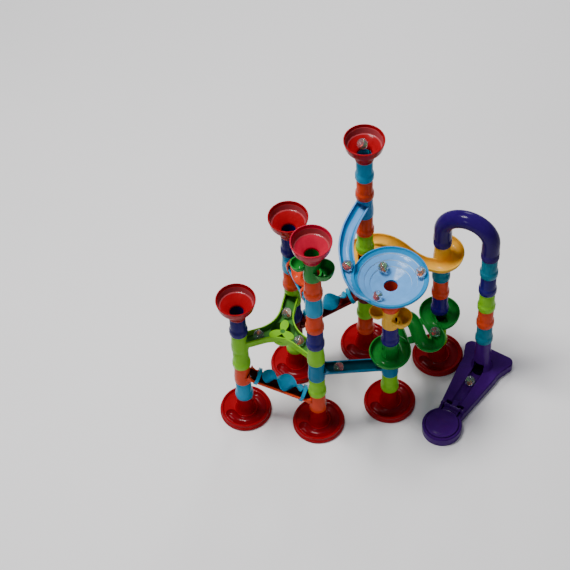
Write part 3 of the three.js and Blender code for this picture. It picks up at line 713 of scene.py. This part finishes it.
def clip_piece():
    """A strap with an arch over the channel, an eye for the axle and a hook below."""
    inner = CHANNEL_R + CHANNEL_WALL + 0.05
    outer = inner + 1.5
    half = CLIP_T / 2
    outline = arc_points(0, 0, outer, 180, 360, 20)
    outline += [(outer, AXLE_H - 5), (outer - 1.2, AXLE_H - 2.6), (4.4, AXLE_H + 2.6), (3, AXLE_H + 3.4)]
    outline += [(-3, AXLE_H + 3.4), (-4.4, AXLE_H + 2.6), (-outer + 1.2, AXLE_H - 2.6), (-outer, AXLE_H - 5)]
    opening = arc_points(0, 0, inner, 180, 360, 20)
    opening += [(inner, AXLE_H - 5.6), (inner - 1, AXLE_H - 4.4), (4, AXLE_H - 3.2), (-4, AXLE_H - 3.2)]
    opening += [(-inner + 1, AXLE_H - 4.4), (-inner, AXLE_H - 5.6)]
    strap = cut(slab(outline, -half, half), [slab(opening, -half - 1, half + 1)])
    eye = rod(3.1, -half - 0.4, half + 0.4, (0, AXLE_H, 0), 24)
    hook = block((4, 2, CLIP_T), (0, -outer - 0.4, 0))
    body = joined([strap, eye, hook])
    return cut(body, [rod(AXLE_R + 0.3, -half - 2, half + 2, (0, AXLE_H, 0), 20)])


def spinner_piece():
    """A blade twisted through one turn, thicker along its edges, with dimples and stub axles."""
    across, along = 10, 72
    vertices, faces = [], []
    for face_side in (1, -1):
        for i in range(along + 1):
            t = i / along - 0.5
            turn = 2 * math.pi * t
            reach = BLADE_R * min(1, 0.2 + 1.2 * math.sqrt(1 - abs(2 * t)))
            for j in range(across + 1):
                v = 2 * j / across - 1
                x = reach * v
                bead = 0.45 * math.exp(-(((abs(v) - 0.94) / 0.05) ** 2))
                dimple = 0
                for spot in (-0.25, 0.25, 0):
                    gap = Vector(((t - spot) * BLADE_LENGTH, (abs(v) - 0.55) * BLADE_R))
                    dimple -= 0.55 * math.exp(-(gap.length / 1.1) ** 2)
                y = face_side * (BLADE_T / 2 + bead + dimple)
                turned_x = x * math.cos(turn) - y * math.sin(turn)
                turned_y = x * math.sin(turn) + y * math.cos(turn)
                vertices.append(Vector((turned_x, turned_y, t * BLADE_LENGTH)))
    row = across + 1
    sheet = (along + 1) * row
    for i in range(along):
        for j in range(across):
            a = i * row + j
            faces.append((a, a + row, a + row + 1, a + 1))
            faces.append((sheet + a, sheet + a + 1, sheet + a + row + 1, sheet + a + row))
        for j, order in ((0, 1), (across, -1)):
            a = i * row + j
            face = (a, sheet + a, sheet + a + row, a + row)
            faces.append(face if order > 0 else tuple(reversed(face)))
    for i, order in ((0, -1), (along, 1)):
        for j in range(across):
            a = i * row + j
            face = (a, sheet + a, sheet + a + 1, a + 1)
            faces.append(face if order > 0 else tuple(reversed(face)))
    blade = solid(vertices, faces)
    reach = CLIP_REACH + CLIP_T / 2 + 1
    inner = BLADE_LENGTH / 2 - 3
    for low, high in ((-reach, -inner), (inner, reach)):
        blade = merged(blade, rod(AXLE_R, low, high, sides=16))
    return blade


def merged(target, other):
    """Both meshes in one object, without a boolean."""
    base_count = len(target.data.vertices)
    vertices = [v.co.copy() for v in target.data.vertices] + [v.co.copy() for v in other.data.vertices]
    faces = [tuple(p.vertices) for p in target.data.polygons]
    faces += [tuple(base_count + v for v in p.vertices) for p in other.data.polygons]
    both = solid(vertices, faces)
    bpy.data.objects.remove(target)
    bpy.data.objects.remove(other)
    return both


# ---------------------------------------------------------------- build everything that is stacked

tube = tube_piece()
slots = {s["node"]: s["material_slot"] for s in frame["record"]["subparts"]}
for name in sorted(frame["nodes"]):
    if name.startswith("tube_"):
        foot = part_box(name)[0].z * METRE
        twin = copy_of(tube, shift(*centre_of(name).xy, foot))
        shown(twin, "stack_" + name, slots[name], nodes=[name])
bpy.data.objects.remove(tube)

funnel = funnel_piece()
for tower, k in {"left": 5, "front_left": 9, "back_left": 7, "back_right": 10}.items():
    twin = copy_of(funnel, Matrix.Translation(at(tower, joint(k))))
    slot = "crimson" if tower == "front_left" else "red"
    shown(twin, "top_funnel_" + tower, slot, nodes=["funnel_" + tower])
    # Painted light: the funnel's inner band is painted paler, as if lit.
    tint_funnel(twin, tower, joint(k))
bpy.data.objects.remove(funnel)

base = base_piece()
for tower in ("left", "front_left", "back_left", "back_right", "front_right", "right"):
    twin = copy_of(base, Matrix.Translation(at(tower, 0)))
    shown(twin, "foot_" + tower, "red", nodes=["base_" + tower])
    # Painted shade: the groove and its pocket are painted a darker red.
    tint(twin, "groove_shade", in_groove(tower))
bpy.data.objects.remove(base)

channel, start, end = straight_link("front_left", 2, "front_right")
shown(channel, "channel_straight", "blue", nodes=["straight_channel"])
# Painted shade: the inside of the channel is painted a darker blue.
tint(channel, "channel_shade", in_channel(start, end))

clip = clip_piece()
spinner = spinner_piece()
for name, start_tower, k, end_tower, slot, spin_slot in (
    ("front", "left", 1, "front_left", "orange", "cyan"),
    ("middle", "front_left", 6, "back_left", "cyan", "orange"),
    ("rear", "back_right", 2, "back_left", "dark_red", "cyan"),
):
    ramp, start, end = straight_link(start_tower, k, end_tower)
    shown(ramp, "ramp_channel_" + name, slot, nodes=["ramp_" + name])
    if slot == "orange":
        # Painted shade: the inside of the orange channel is painted a darker orange.
        tint(ramp, "orange_channel_shade", in_channel(start, end))
    for i, distance in enumerate((-CLIP_REACH, CLIP_REACH)):
        twin = copy_of(clip, ramp_matrix(start, end, distance))
        shown(twin, f"ramp_clip_{name}_{i + 1}", spin_slot)
    twin = copy_of(spinner, ramp_matrix(start, end, 0, AXLE_H))
    shown(twin, "twister_" + name, spin_slot, body="spinner_" + name, nodes=["spinner_" + name])
bpy.data.objects.remove(clip)
bpy.data.objects.remove(spinner)

# ---------------------------------------------------------------- three-way channel


WELL_R = 18
THREE_WAY_K = 3
THREE_WAY_FLOOR = joint(THREE_WAY_K) + CHANNEL_Z - CHANNEL_R
ARM = SPACING / math.sqrt(3)
ARM_TOWERS = ("left", "front_left", "back_left")
junction = (at("left", 0) + at("front_left", 0) + at("back_left", 0)) / 3


def three_way_piece():
    floor = THREE_WAY_FLOOR
    rim = floor + CHANNEL_R + CHANNEL_RIM + 1
    depth, corner_r = 22, 45

    def plan(half):
        radius = corner_r + CHANNEL_R + CHANNEL_WALL - half
        reach = (half + radius) / math.sin(math.pi / 3)
        outline = []
        for i in range(3):
            axis = 180 + 120 * i
            along = Vector((math.cos(math.radians(axis)), math.sin(math.radians(axis))))
            across = Vector((-along.y, along.x))
            for side in (-1, 1):
                tip = along * ARM + across * side * half
                outline.append((tip.x, tip.y))
            way = math.radians(axis + 60)
            outline += arc_points(
                reach * math.cos(way), reach * math.sin(way), radius, axis + 60 + 210, axis + 60 + 150, 22
            )
        return outline

    lip = plan(CHANNEL_R + CHANNEL_WALL + 0.5)
    outer = plan(CHANNEL_R + CHANNEL_WALL)
    inner = plan(CHANNEL_R)
    spot = Vector((junction.x, junction.y, 0))
    well = [(0, -depth - 1.5)] + [
        ((WELL_R + 1.5) * math.sin(math.radians(a)), 0.2 - (depth + 1.7) * math.cos(math.radians(a)))
        for a in range(15, 91, 15)
    ]
    hollow = [(0, -depth)] + [
        (WELL_R * math.sin(math.radians(a)), 0.3 - (depth + 0.3) * math.cos(math.radians(a)))
        for a in range(15, 91, 15)
    ]
    middle = Vector((junction.x, junction.y, floor))
    body = [
        slab(outer, floor - 1.5, rim, spot),
        slab(lip, rim - 1.6, rim - 0.4, spot),
        revolve(well + [(0, 0.2)], 48, middle),
    ]
    body += [sleeve_piece(at(t, joint(THREE_WAY_K))) for t in ARM_TOWERS]
    body = cut(
        joined(body),
        [slab(inner, floor, floor + 2 * MARBLE_R + 1.4, spot), revolve(hollow + [(0, 0.6)], 48, middle)],
    )
    island = []
    for i in range(72):
        angle = 2 * math.pi * i / 72
        radius = 12.5 + 8 * math.cos(3 * (angle - math.pi))
        island.append((radius * math.cos(angle), radius * math.sin(angle)))
    island_top = 1.5
    petals = slab(island, -depth - 0.5, island_top, middle)
    reach = revolve(well + [(WELL_R + 3, 0.2), (WELL_R + 3, island_top + 1), (0, island_top + 1)], 48, middle)
    combine(petals, [reach], "INTERSECT")
    body = joined([body, petals])
    dish = revolve([(0, 0.2), (3.4, 0.9), (4.4, 3), (0, 3)], 36, middle)
    cuts = [dish]
    for t in ARM_TOWERS:
        cuts += sleeve_cuts(t, THREE_WAY_K, CHANNEL_Z if t == "back_left" else 0.0)
    return cut(body, cuts)


def in_three_way(middle, normal):
    """Picks the floor of the arms, the inside of their walls and the well, which get a darker green as
    painted shade.
    """
    floor = THREE_WAY_FLOOR
    offset = middle - junction
    ways = [(at(t, 0) - junction).xy.normalized() for t in ARM_TOWERS]
    along = max(ways, key=offset.xy.dot)
    across = offset.xy - along * offset.xy.dot(along)
    if offset.xy.length > ARM - 13 or normal.z < -0.3:
        return False
    if normal.z > 0.5:
        return middle.z < floor + 1
    if middle.z < floor:
        return offset.xy.length < WELL_R + 0.4
    return middle.z < floor + CHANNEL_R + 1 and normal.xy.dot(across) < 0


junction_three_way = shown(three_way_piece(), "junction_three_way", "lime", nodes=["three_way_channel"])
# Painted shade: the arms' floors, inner walls and the well are painted a darker green.
tint(junction_three_way, "junction_shade", in_three_way)

# ---------------------------------------------------------------- curved chutes


def ring_path(tower, radius, start, end, z0, z1, count):
    """An arc about a tower, which falls evenly from z0 to z1."""
    flat = arc_points(*towers[tower].xy, radius, start, end, count)
    return [Vector((x, y, z0 + (z1 - z0) * i / count)) for i, (x, y) in enumerate(flat)]


def turn_path(x, y, radius, start, end, z0, z1, count):
    """The same about a point given from the middle of the towers' square."""
    flat = arc_points(x, y, radius, start, end, count)
    return [planned(*spot, z0 + (z1 - z0) * i / count) for i, spot in enumerate(flat)]


CHUTE_RIM = 3


def bowl_parts(tower, z):
    rim = CHUTE_RIM
    outer = CHANNEL_R + CHANNEL_WALL
    track = BOWL_TRACK_R
    outside = [(0, -outer)]
    outside += [(track + x, y) for x, y in arc_points(0, 0, outer, -90, -6, 12)]
    edge, bead = track + outer, 0.5
    outside += [(edge, rim - 1.8), (edge + bead, rim - 1.2), (edge + bead, rim - 0.3), (edge, rim), (0, rim)]
    hub = BORE_R + 0.5
    space = [(hub, -CHANNEL_R / 2)]
    space += [(track + x, y) for x, y in arc_points(0, 0, CHANNEL_R, -150, 0, 16)]
    space += [(track + CHANNEL_R, rim + 1), (hub, rim + 1)]
    spot = at(tower, z)
    return revolve(outside, ROUND + 16, spot), revolve(space, ROUND + 16, spot)


def window(tower, degrees, low, high):
    turn = math.radians(degrees)
    spot = towers[tower]
    half = BOWL_TRACK_R / 2
    width = 16.8
    middle = (spot.x + half * math.cos(turn), spot.y + half * math.sin(turn), (low + high) / 2)
    return block((BOWL_TRACK_R, width, high - low), middle, turn)


def curved_chute(start_tower, k, end_tower, points, space_points, steps, bowls, out_z, end_z, outlet, inlet):
    high = 17.4
    floor = max(out_z - CHANNEL_R - joint(k) + 1, PLUG + 1)
    shell = sweep(channel_section(CHUTE_RIM), smooth_path(points, steps))
    space = sweep(marble_space(CHUTE_RIM + 1), smooth_path(space_points, steps))
    body = joined([shell, *(outside for outside, _ in bowls)])
    body = cut(body, [space, *(hollow for _, hollow in bowls)])
    body = joined([body, sleeve_piece(at(start_tower, joint(k))), sleeve_piece(at(end_tower, joint(k - 1)))])
    low_out = joint(k) + floor
    low_in = end_z - CHANNEL_R
    tools = [window(start_tower, outlet, low_out, low_out + high)]
    tools.append(window(end_tower, inlet, low_in, low_in + high))
    tools += sleeve_cuts(start_tower, k, floor) + sleeve_cuts(end_tower, k - 1)
    return cut(body, tools)


def folded_chute():
    start_z = joint(2) + 10.5
    end_z = joint(1) + 30.8
    runs = (81, 109, 136)

    def drop(share):
        return start_z + (end_z - start_z) * share

    points = ring_path("front_right", BOWL_TRACK_R, -45, -15, start_z, start_z, 1)
    for (a, b), y, start, high, low in ((runs[:2], -12, 180, 0.25, 0.45), (runs[1:], -44, -180, 0.55, 0.75)):
        points += turn_path((a + b) / 2, y, (b - a) / 2, start, 0, drop(high), drop(low), 4)
    points += ring_path("right", BOWL_TRACK_R, 165, 130, end_z, end_z, 1)
    bowls = [bowl_parts("front_right", start_z), bowl_parts("right", end_z)]
    body = curved_chute("front_right", 2, "right", points, points, 110, bowls, start_z, end_z, 180, -90)
    webs = [
        block((13, 12, 1.4), planned(93.5, -40, drop(0.5))),
        block((11, 12, 1.4), planned(119.8, -8, end_z + 1.8)),
    ]
    return joined([body, *webs])


def sweeping_chute():
    start_z = joint(5) + 11.5
    end_z = joint(4) + 26

    def drop(share):
        return start_z + (end_z - start_z) * share

    wind_r, wind_start, wind_end, end_wall = 21.5, 98, -140, 4
    out_z = start_z + 10
    points = ring_path("right", wind_r, wind_start, wind_end, out_z, start_z, 8)
    points += [
        planned(127, -3, drop(0.15)),
        planned(119, 9, drop(0.27)),
        planned(112, 25, drop(0.4)),
        planned(105, 43, drop(0.53)),
        planned(95, 60, drop(0.66)),
        planned(80, 73, drop(0.82)),
    ]
    points += ring_path("back_right", BOWL_TRACK_R, 85, 120, end_z, end_z, 1)
    space_start = ring_path("right", wind_r, wind_start - end_wall, wind_end, out_z, start_z, 1)[0]
    bowls = [bowl_parts("back_right", end_z)]
    space_points = [space_start, *points[1:]]
    return curved_chute("right", 5, "back_right", points, space_points, 120, bowls, out_z, end_z, 75, -120)


shown(folded_chute(), "chute_folded", "green", nodes=["folded_chute"])
shown(sweeping_chute(), "chute_sweeping", "yellow", nodes=["sweeping_chute"])

# ---------------------------------------------------------------- whirl bowl


def whirl_piece():
    feed_k = 7
    spot = at("front_right", joint(WHIRL_K))
    outside = [
        (0, 0),
        (END_R - 0.5, 0),
        (END_R, 0.7),
        (END_R, PLUG),
        (END_R + 3, PLUG + 1.6),
        (30, 14),
        (WHIRL_R - 3.4, 24.6),
        (WHIRL_R - 2, 26.6),
        (WHIRL_R - 1, 29),
        (WHIRL_R, 29.6),
        (WHIRL_R, WHIRL_H - 0.6),
        (WHIRL_R - 0.6, WHIRL_H),
        (0, WHIRL_H),
    ]
    hollow = [
        (0, 11.5),
        (11.3, 11.5),
        (13, 12.4),
        (28.6, 16),
        (29.2, 16.3),
        (29.6, 18.2),
        (30.4, 18.8),
        (36.6, 20.6),
        (37.2, 20.9),
        (37.6, 22.6),
        (38.4, 23.2),
        (44.6, 25.4),
        (45.2, 25.7),
        (45.6, 27.6),
        (46.4, 28.2),
        (WHIRL_R - 3.8, 30),
        (WHIRL_R - 2.4, 31.4),
        (WHIRL_R - 1.9, WHIRL_H + 1),
        (0, WHIRL_H + 1),
    ]
    high = joint(feed_k)
    points = [
        at("back_right", high + 27),
        planned(41, 43, high + 23),
        planned(25, 27, high + 17),
        planned(11, 4, high + 9),
        planned(5, -20, high + 2.5),
        planned(2, -46, high - 1),
        planned(8, -70, high - 2),
        planned(21, -84, high - 2.5),
    ]
    path = smooth_path(points, 90)
    chute = cut(sweep(channel_section(), path), [rod(WHIRL_R - 2.2, 11.5, WHIRL_H + 12, spot, 96)])
    body = joined(
        [
            revolve(outside, 96, spot),
            chute,
            sleeve_piece(at("back_right", high)),
        ]
    )
    tools = [revolve(hollow, 96, spot), sweep(disc(CHANNEL_R, 36), path), socket(spot)]
    tools += [rod(BORE_R, 0, 12.5, spot)] + sleeve_cuts("back_right", feed_k, 27)
    return cut(body, tools)


def whirl_part(middle, normal):
    """Names the part of the whirl bowl's piece that a face belongs to."""
    offset = middle - at("front_right", joint(WHIRL_K))
    radius = offset.xy.length
    if radius < 46.6 and normal.z > 0.05 and 11 < offset.z < 31.2:
        return "ledge_highlight" if radius > 29 and normal.z < 0.75 else "bowl"
    if radius > WHIRL_R + 2 and normal.z > 0.82 and offset.z < 72:
        return "chute floor"
    return "wall"


bowl_whirl = shown(whirl_piece(), "bowl_whirl", "sky", nodes=["whirl_bowl"])
# Painted light: faces that face up in the bowl and on the chute floor keep the pale blue as if lit, all other
# faces get a deeper blue as painted shade.
tint(bowl_whirl, "whirl_shade", lambda middle, normal: whirl_part(middle, normal) == "wall")
# Painted highlight: the risers of the ledges are painted near-white.
tint(bowl_whirl, "ledge_highlight", lambda middle, normal: whirl_part(middle, normal) == "ledge_highlight")

# ---------------------------------------------------------------- cups


def cup_piece():
    def cup(radius, height, place):
        wall = 1.5
        outside, space = [(0, 0)], [(0, wall)]
        for i in range(1, 13):
            angle = i / 12 * math.pi / 2
            outside.append((radius * math.sin(angle), height * (1 - math.cos(angle))))
            space.append(((radius - wall) * math.sin(angle), wall + (height - wall) * (1 - math.cos(angle))))
        outside[-1] = (radius, height - 1.4)
        outside += [(radius + 0.35, height - 1), (radius + 0.35, height - 0.3), (radius, height), (0, height)]
        space += [(radius - wall, height + 1), (0, height + 1)]
        return revolve(outside, 40, place), revolve(space, 40, place)

    large, large_space = cup(16.1, 23, (15, 0, 1))
    small, small_space = cup(11.7, 15, (-19, 0, 12))
    body = cut(joined([large, small]), [large_space, small_space])
    body = joined([body, sleeve_piece((0, 0, 0))])
    return cut(body, [block((16, 16.6, 17), (12, 0, 18.5)), bore(), socket()])


cup = cup_piece()
for tower, k, slot in (("front_left", 8, "green"), ("front_right", 4, "yellow")):
    twin = copy_of(cup, Matrix.Translation(at(tower, joint(k))) @ Matrix.Rotation(math.radians(-30), 4, "Z"))
    shown(twin, "catch_cup_" + tower, slot, nodes=["cup_" + tower])
bpy.data.objects.remove(cup)

# ---------------------------------------------------------------- arch pipe


def arch_piece():
    leg = 31
    radius = LIFT_STEP / 2
    base_z = joint(6)
    across = (towers["right"] - towers["lift"]).normalized()
    path = [at("lift", base_z + leg * i / 4) for i in range(4)]
    for i in range(41):
        angle = math.pi * i / 40
        path.append(
            at("lift", base_z + leg + radius * math.sin(angle)) + across * radius * (1 - math.cos(angle))
        )
    path += [at("right", base_z + leg * (3 - i) / 4) for i in range(4)]
    sideways = across.cross(UP).normalized()
    body = sweep(disc(COLLAR_R - 0.35, 40), path, sideways)
    rings = []
    for tower in ("lift", "right"):
        cuff = [
            (BORE_R + 0.5, 0),
            (COLLAR_R - 0.5, 0),
            (COLLAR_R, 0.6),
            (COLLAR_R, COLLAR_H),
            (COLLAR_R - 0.7, COLLAR_H + 0.9),
            (BORE_R + 0.5, COLLAR_H + 0.9),
        ]
        rings.append(revolve(cuff, place=at(tower, base_z)))
    body = joined([body, *rings])
    tools = [sweep(disc(BORE_R, 40), path, sideways)]
    for tower in ("lift", "right"):
        tools.append(rod(BORE_R, -1, 4, at(tower, base_z)))
        tools.append(socket(at(tower, base_z)))
    return cut(body, tools)


shown(arch_piece(), "pipe_arch", "indigo", nodes=["arch_pipe"], material=plastics["midnight"])

# ---------------------------------------------------------------- launcher

DECK_H = 15
PAD_X, PAD_R, ROUND_R = 126, 25, 30
HINGE_X, HINGE_Z, PIN_R = 93, 16.5, 1.5
NECK_HALF = 19
LAUNCH_TURN = Matrix.Rotation(math.radians(221), 4, "Z")
LAUNCH_PLACE = Matrix.Translation(towers["lift"]) @ LAUNCH_TURN


def along_hinge(obj, y=0):
    """Lays a piece that is built along Z on the lever's hinge, in the launcher's own frame."""
    return moved(obj, shift(HINGE_X, y, HINGE_Z) @ Matrix.Rotation(math.pi / 2, 4, "X"))


def launcher_outline(inset=0.0):
    hollow = LAUNCH_TURN.to_3x3().inverted() @ (towers["right"] - towers["lift"])
    hollow_r = BASE_R + 1.2 + inset
    neck = 180 - math.degrees(math.asin(NECK_HALF / ROUND_R))
    outline = arc_points(PAD_X, 0, ROUND_R - inset, -neck, neck, 44)
    outline += arc_points(hollow.x, -hollow.y, hollow_r, -86, -120, 12)
    outline += arc_points(-22, 29, 11 - inset, 50, 180, 16)
    outline += arc_points(-22, -29, 11 - inset, 180, 310, 16)
    outline += arc_points(hollow.x, hollow.y, hollow_r, 120, 86, 12)
    return outline


def launcher_body():
    stem = [
        (0, 0),
        (COLLAR_R + 3.5, 0),
        (COLLAR_R + 3.5, DECK_H),
        (COLLAR_R + 2.2, DECK_H + 3),
        (COLLAR_R, DECK_H + 9),
        (TUBE_R + 0.5, DECK_H + 40),
        (TUBE_R, LIFT_TOP),
        (TUBE_R, LIFT_TOP + PLUG - GAP - 0.9),
        (TUBE_R - 0.8, LIFT_TOP + PLUG - GAP),
        (0, LIFT_TOP + PLUG - GAP),
    ]
    plates = [
        slab(launcher_outline(), 0, DECK_H - 1.6),
        slab(launcher_outline(0.5), 0, DECK_H - 0.8),
        slab(launcher_outline(1.3), 0, DECK_H),
    ]
    ears = [
        joined(
            [
                block((7, 4, 7), (HINGE_X, side * (NECK_HALF - 2), DECK_H - 0.6)),
                along_hinge(rod(3.5, -2, 2, sides=28), side * (NECK_HALF - 2)),
            ]
        )
        for side in (-1, 1)
    ]
    ribs = []
    for side in (-1, 1):
        for i in range(9):
            x = 24 + i * 7
            edge = 30.2 - (x - 14) * 11.2 / 79
            ribs.append(block((2.4, 1.6, DECK_H - 3), (x, side * (edge - 0.2), (DECK_H - 3) / 2 + 0.6)))
    start, end = Vector((0, 0, 17)), Vector((HINGE_X - 4, 0, 19))
    lane = [start.lerp(end, i / 8) for i in range(9)]
    open_lane = [Vector((COLLAR_R + 3.6, 0, 17)), end]
    body = joined([*plates, revolve(stem, place=(0, 0, 0)), *ears, *ribs])
    floor = 2
    rocker_space = (PAD_X - HINGE_X + 10, 2 * (NECK_HALF - 4) - 1, DECK_H + 10)
    tools = [
        sweep(disc(CHANNEL_R, 36), lane),
        sweep(marble_space(CHANNEL_R), open_lane),
        rod(PAD_R + 1, floor, DECK_H + 1, (PAD_X, 0, 0), 64),
        block(rocker_space, ((PAD_X + HINGE_X) / 2 - 5, 0, DECK_H / 2 + 7)),
        along_hinge(rod(PIN_R + 0.3, -NECK_HALF - 2, NECK_HALF + 2, sides=20)),
        rod(BORE_R, 17, LIFT_TOP + PLUG + 1),
        block((22, 16.2, 20), (11, 0, DECK_H + 7)),
    ]
    return cut(body, tools)


def lever_piece():
    low = 12
    half = NECK_HALF - 6
    knob_t = 2.4
    knob_spans = ((-half, knob_t - half), (half - knob_t, half))
    knobs = [along_hinge(rod(3.6, start, end, sides=32)) for start, end in knob_spans]
    hub = along_hinge(rod(2.7, -half, half, sides=32))
    pad = revolve(
        [
            (0, low),
            (PAD_R - 2, low),
            (PAD_R, low + 1.6),
            (PAD_R, low + 4.4),
            (PAD_R - 0.7, low + 5.6),
            (PAD_R - 2, low + 6),
            (PAD_R - 3.4, low + 5.6),
            (PAD_R - 5.4, low + 4.7),
            (PAD_R - 8, low + 4.3),
            (0, low + 4),
        ],
        64,
        (PAD_X, 0, 0),
    )
    arm = block((PAD_X - HINGE_X - 8, 2 * half - 2, 4), ((PAD_X + HINGE_X) / 2 - 3, 0, low + 2.2))
    ridges = [block((1.2, 2 * half - 6, 1), (HINGE_X + 7 + 3 * i, 0, low + 4.4)) for i in range(3)]
    tongue = block((13, 8, 3), (HINGE_X - 7, 0, HINGE_Z - 1.5))
    hole = along_hinge(rod(PIN_R + 0.3, -NECK_HALF, NECK_HALF, sides=20))
    return cut(joined([hub, pad, arm, tongue, *knobs, *ridges]), [hole])


def pin_piece():
    profile = [(0, -20), (1.2, -20), (1.5, -19.6), (1.5, 19.6), (1.2, 20), (0, 20)]
    return along_hinge(revolve(profile, 24))


def in_lift_window(middle, normal):
    """Picks the inside of the window at the foot of the lift tube, which is painted near-black as painted
    shade.
    """
    spot = LAUNCH_PLACE.inverted() @ middle
    return 0 < spot.x < COLLAR_R + 5 and abs(spot.y) < 8.4 and 2 < spot.z < DECK_H + 17.2


launch_base = shown(moved(launcher_body(), LAUNCH_PLACE), "launch_base", "indigo", nodes=["launcher_body"])
# Painted shade: the inside of the window is painted near-black.
tint(launch_base, "window_shade", in_lift_window)
shown(moved(lever_piece(), LAUNCH_PLACE), "launch_lever", "indigo", body="lever", nodes=["launcher_lever"])
shown(moved(pin_piece(), LAUNCH_PLACE), "launch_pin", "indigo", nodes=["launcher_pin"])

# ---------------------------------------------------------------- marbles

spread = random.Random(7)


def marble_at(centre, name, body="run", nodes=()):
    """A glass ball with a twisted cat's-eye of three coloured vanes inside."""
    profile = [(0, -MARBLE_R), *arc_points(0, 0, MARBLE_R, -80, 80, 16), (0, MARBLE_R)]
    ball = moved(revolve(profile, 32), Matrix.Translation(centre))
    shown(ball, name, "glass", body, nodes, angle=80, material=clear)
    leaning = Vector((1, 0.4, 0.2)).normalized()
    tilt = Matrix.Translation(centre) @ Matrix.Rotation(spread.uniform(0, 6.28), 4, leaning)
    tilt = tilt @ Matrix.Rotation(spread.uniform(0, 6.28), 4, "Z")
    colour = spread.randrange(len(ribbons))
    for i in range(3):
        vertices, faces = [], []
        for step in range(17):
            t = step / 16
            angle = 2 * math.pi * i / 3 + 2.2 * t
            reach = 4.9 * math.sin(math.pi * (0.06 + 0.88 * t))
            z = (t - 0.5) * 11
            for thick in (-0.35, 0.35):
                for r in (0.2, reach):
                    x = r * math.cos(angle) - thick * math.sin(angle)
                    y = r * math.sin(angle) + thick * math.cos(angle)
                    vertices.append(Vector((x, y, z)))
        for step in range(16):
            a, b = step * 4, step * 4 + 4
            faces += [(a, a + 1, b + 1, b), (a + 2, b + 2, b + 3, a + 3)]
            faces += [(a + 1, a + 3, b + 3, b + 1), (a, b, b + 2, a + 2)]
        faces += [(0, 2, 3, 1), (64, 65, 67, 66)]
        vane = moved(solid(vertices, faces), tilt)
        material = ribbons[(colour + (i % 2)) % len(ribbons)]
        shown(vane, f"{name}_vane_{i + 1}", "glass", body, material=material, angle=60)


for node, body in (("marble_channel",) * 2, ("marble_whirl",) * 2, ("marble_launcher",) * 2):
    marble_at(centre_of(node), "ball_" + node[7:], body, [node])

whirl_centre = at("front_right", joint(WHIRL_K))
arm_z = joint(THREE_WAY_K) + CHANNEL_Z - 0.6
dressing = {
    "ball_funnel": at("back_right", joint(10) + 25) + Vector((-1, 5, 0)),
    "ball_feed": planned(3.6, -25, joint(7) + 1.2),
    "ball_whirl_2": whirl_centre + Vector((-2.6, 25, 24.6)),
    "ball_whirl_3": whirl_centre + Vector((-27.5, -22.6, 28.2)),
    "ball_arm_left": junction.lerp(at("left", 0), 0.55) + Vector((0, 0, arm_z)),
    "ball_arm_front": junction.lerp(at("front_left", 0), 0.5) + Vector((0, 0, arm_z)),
    "ball_arm_back": junction.lerp(at("back_left", 0), 0.45) + Vector((0, 0, arm_z)),
    "ball_folded": planned(135.6, -34, joint(1) + 35.4),
}
for name, centre in dressing.items():
    marble_at(centre, name)

# ---------------------------------------------------------------- room, light and camera

FLOOR_HALF, FLOOR_Z = 6, -0.0006
FLOOR_CORNERS = ((-1, -1), (1, -1), (1, 1), (-1, 1))
floor = solid([(x * FLOOR_HALF, y * FLOOR_HALF, FLOOR_Z) for x, y in FLOOR_CORNERS], [(0, 1, 2, 3)], "floor")
paper = Nodes("paper")
grain = paper.add("ShaderNodeTexNoise", Scale=30, Detail=4)
shade = paper.add("ShaderNodeValToRGB")
shade.color_ramp.elements[0].color = (0.84, 0.84, 0.84, 1)
shade.color_ramp.elements[1].color = (0.9, 0.9, 0.9, 1)
paper.link(grain.outputs["Fac"], shade.inputs["Fac"])
paper.link(shade.outputs["Color"], paper.shader.inputs["Base Color"])
paper.shader.inputs["Roughness"].default_value = 0.7
floor.data.materials.append(paper.material)

world = bpy.data.worlds.new("studio")
world.use_nodes = True
world.node_tree.nodes["Background"].inputs["Color"].default_value = (0.9, 0.9, 1, 1)
world.node_tree.nodes["Background"].inputs["Strength"].default_value = 0.24
scene.world = world


def lamp(name, place, target, size, power, colour=(1, 1, 1)):
    data = bpy.data.lights.new(name, "AREA")
    data.size = size
    data.energy = power
    data.color = colour
    obj = bpy.data.objects.new(name, data)
    scene.collection.objects.link(obj)
    obj.location = place
    obj.rotation_euler = (Vector(target) - Vector(place)).to_track_quat("-Z", "Y").to_euler()


lamp("key", (-0.5, 0.25, 2.1), (0, 0, 0), 0.55, 54, (1, 0.98, 0.97))
lamp("fill", (-1.5, -1.3, 1.3), (0, 0, 0.2), 0.35, 4.5, (1, 0.98, 1))
lamp("back", (0.9, 1.5, 1.2), (0, 0, 0.2), 0.5, 9)

# The camera stands high in front of the towers, a little to the left, with a long lens.
EYE = planned(-492.36, -1595.83, 2458.56)
PITCH, YAW, ROLL = (math.radians(a) for a in (52.856, 14.435, -3.536))
forward = Vector((math.sin(YAW) * math.cos(PITCH), math.cos(YAW) * math.cos(PITCH), -math.sin(PITCH)))
level = Vector((math.cos(YAW), -math.sin(YAW), 0))
upward = level.cross(forward)
right = level * math.cos(ROLL) + upward * math.sin(ROLL)
top = upward * math.cos(ROLL) - level * math.sin(ROLL)
camera = bpy.data.objects.new("camera", bpy.data.cameras.new("camera"))
camera.data.sensor_width = 36
camera.data.lens = 122.0
scene.collection.objects.link(camera)
place = EYE / METRE
camera.matrix_world = Matrix(
    (
        (right.x, top.x, -forward.x, place.x),
        (right.y, top.y, -forward.y, place.y),
        (right.z, top.z, -forward.z, place.z),
        (0, 0, 0, 1),
    )
)
scene.camera = camera
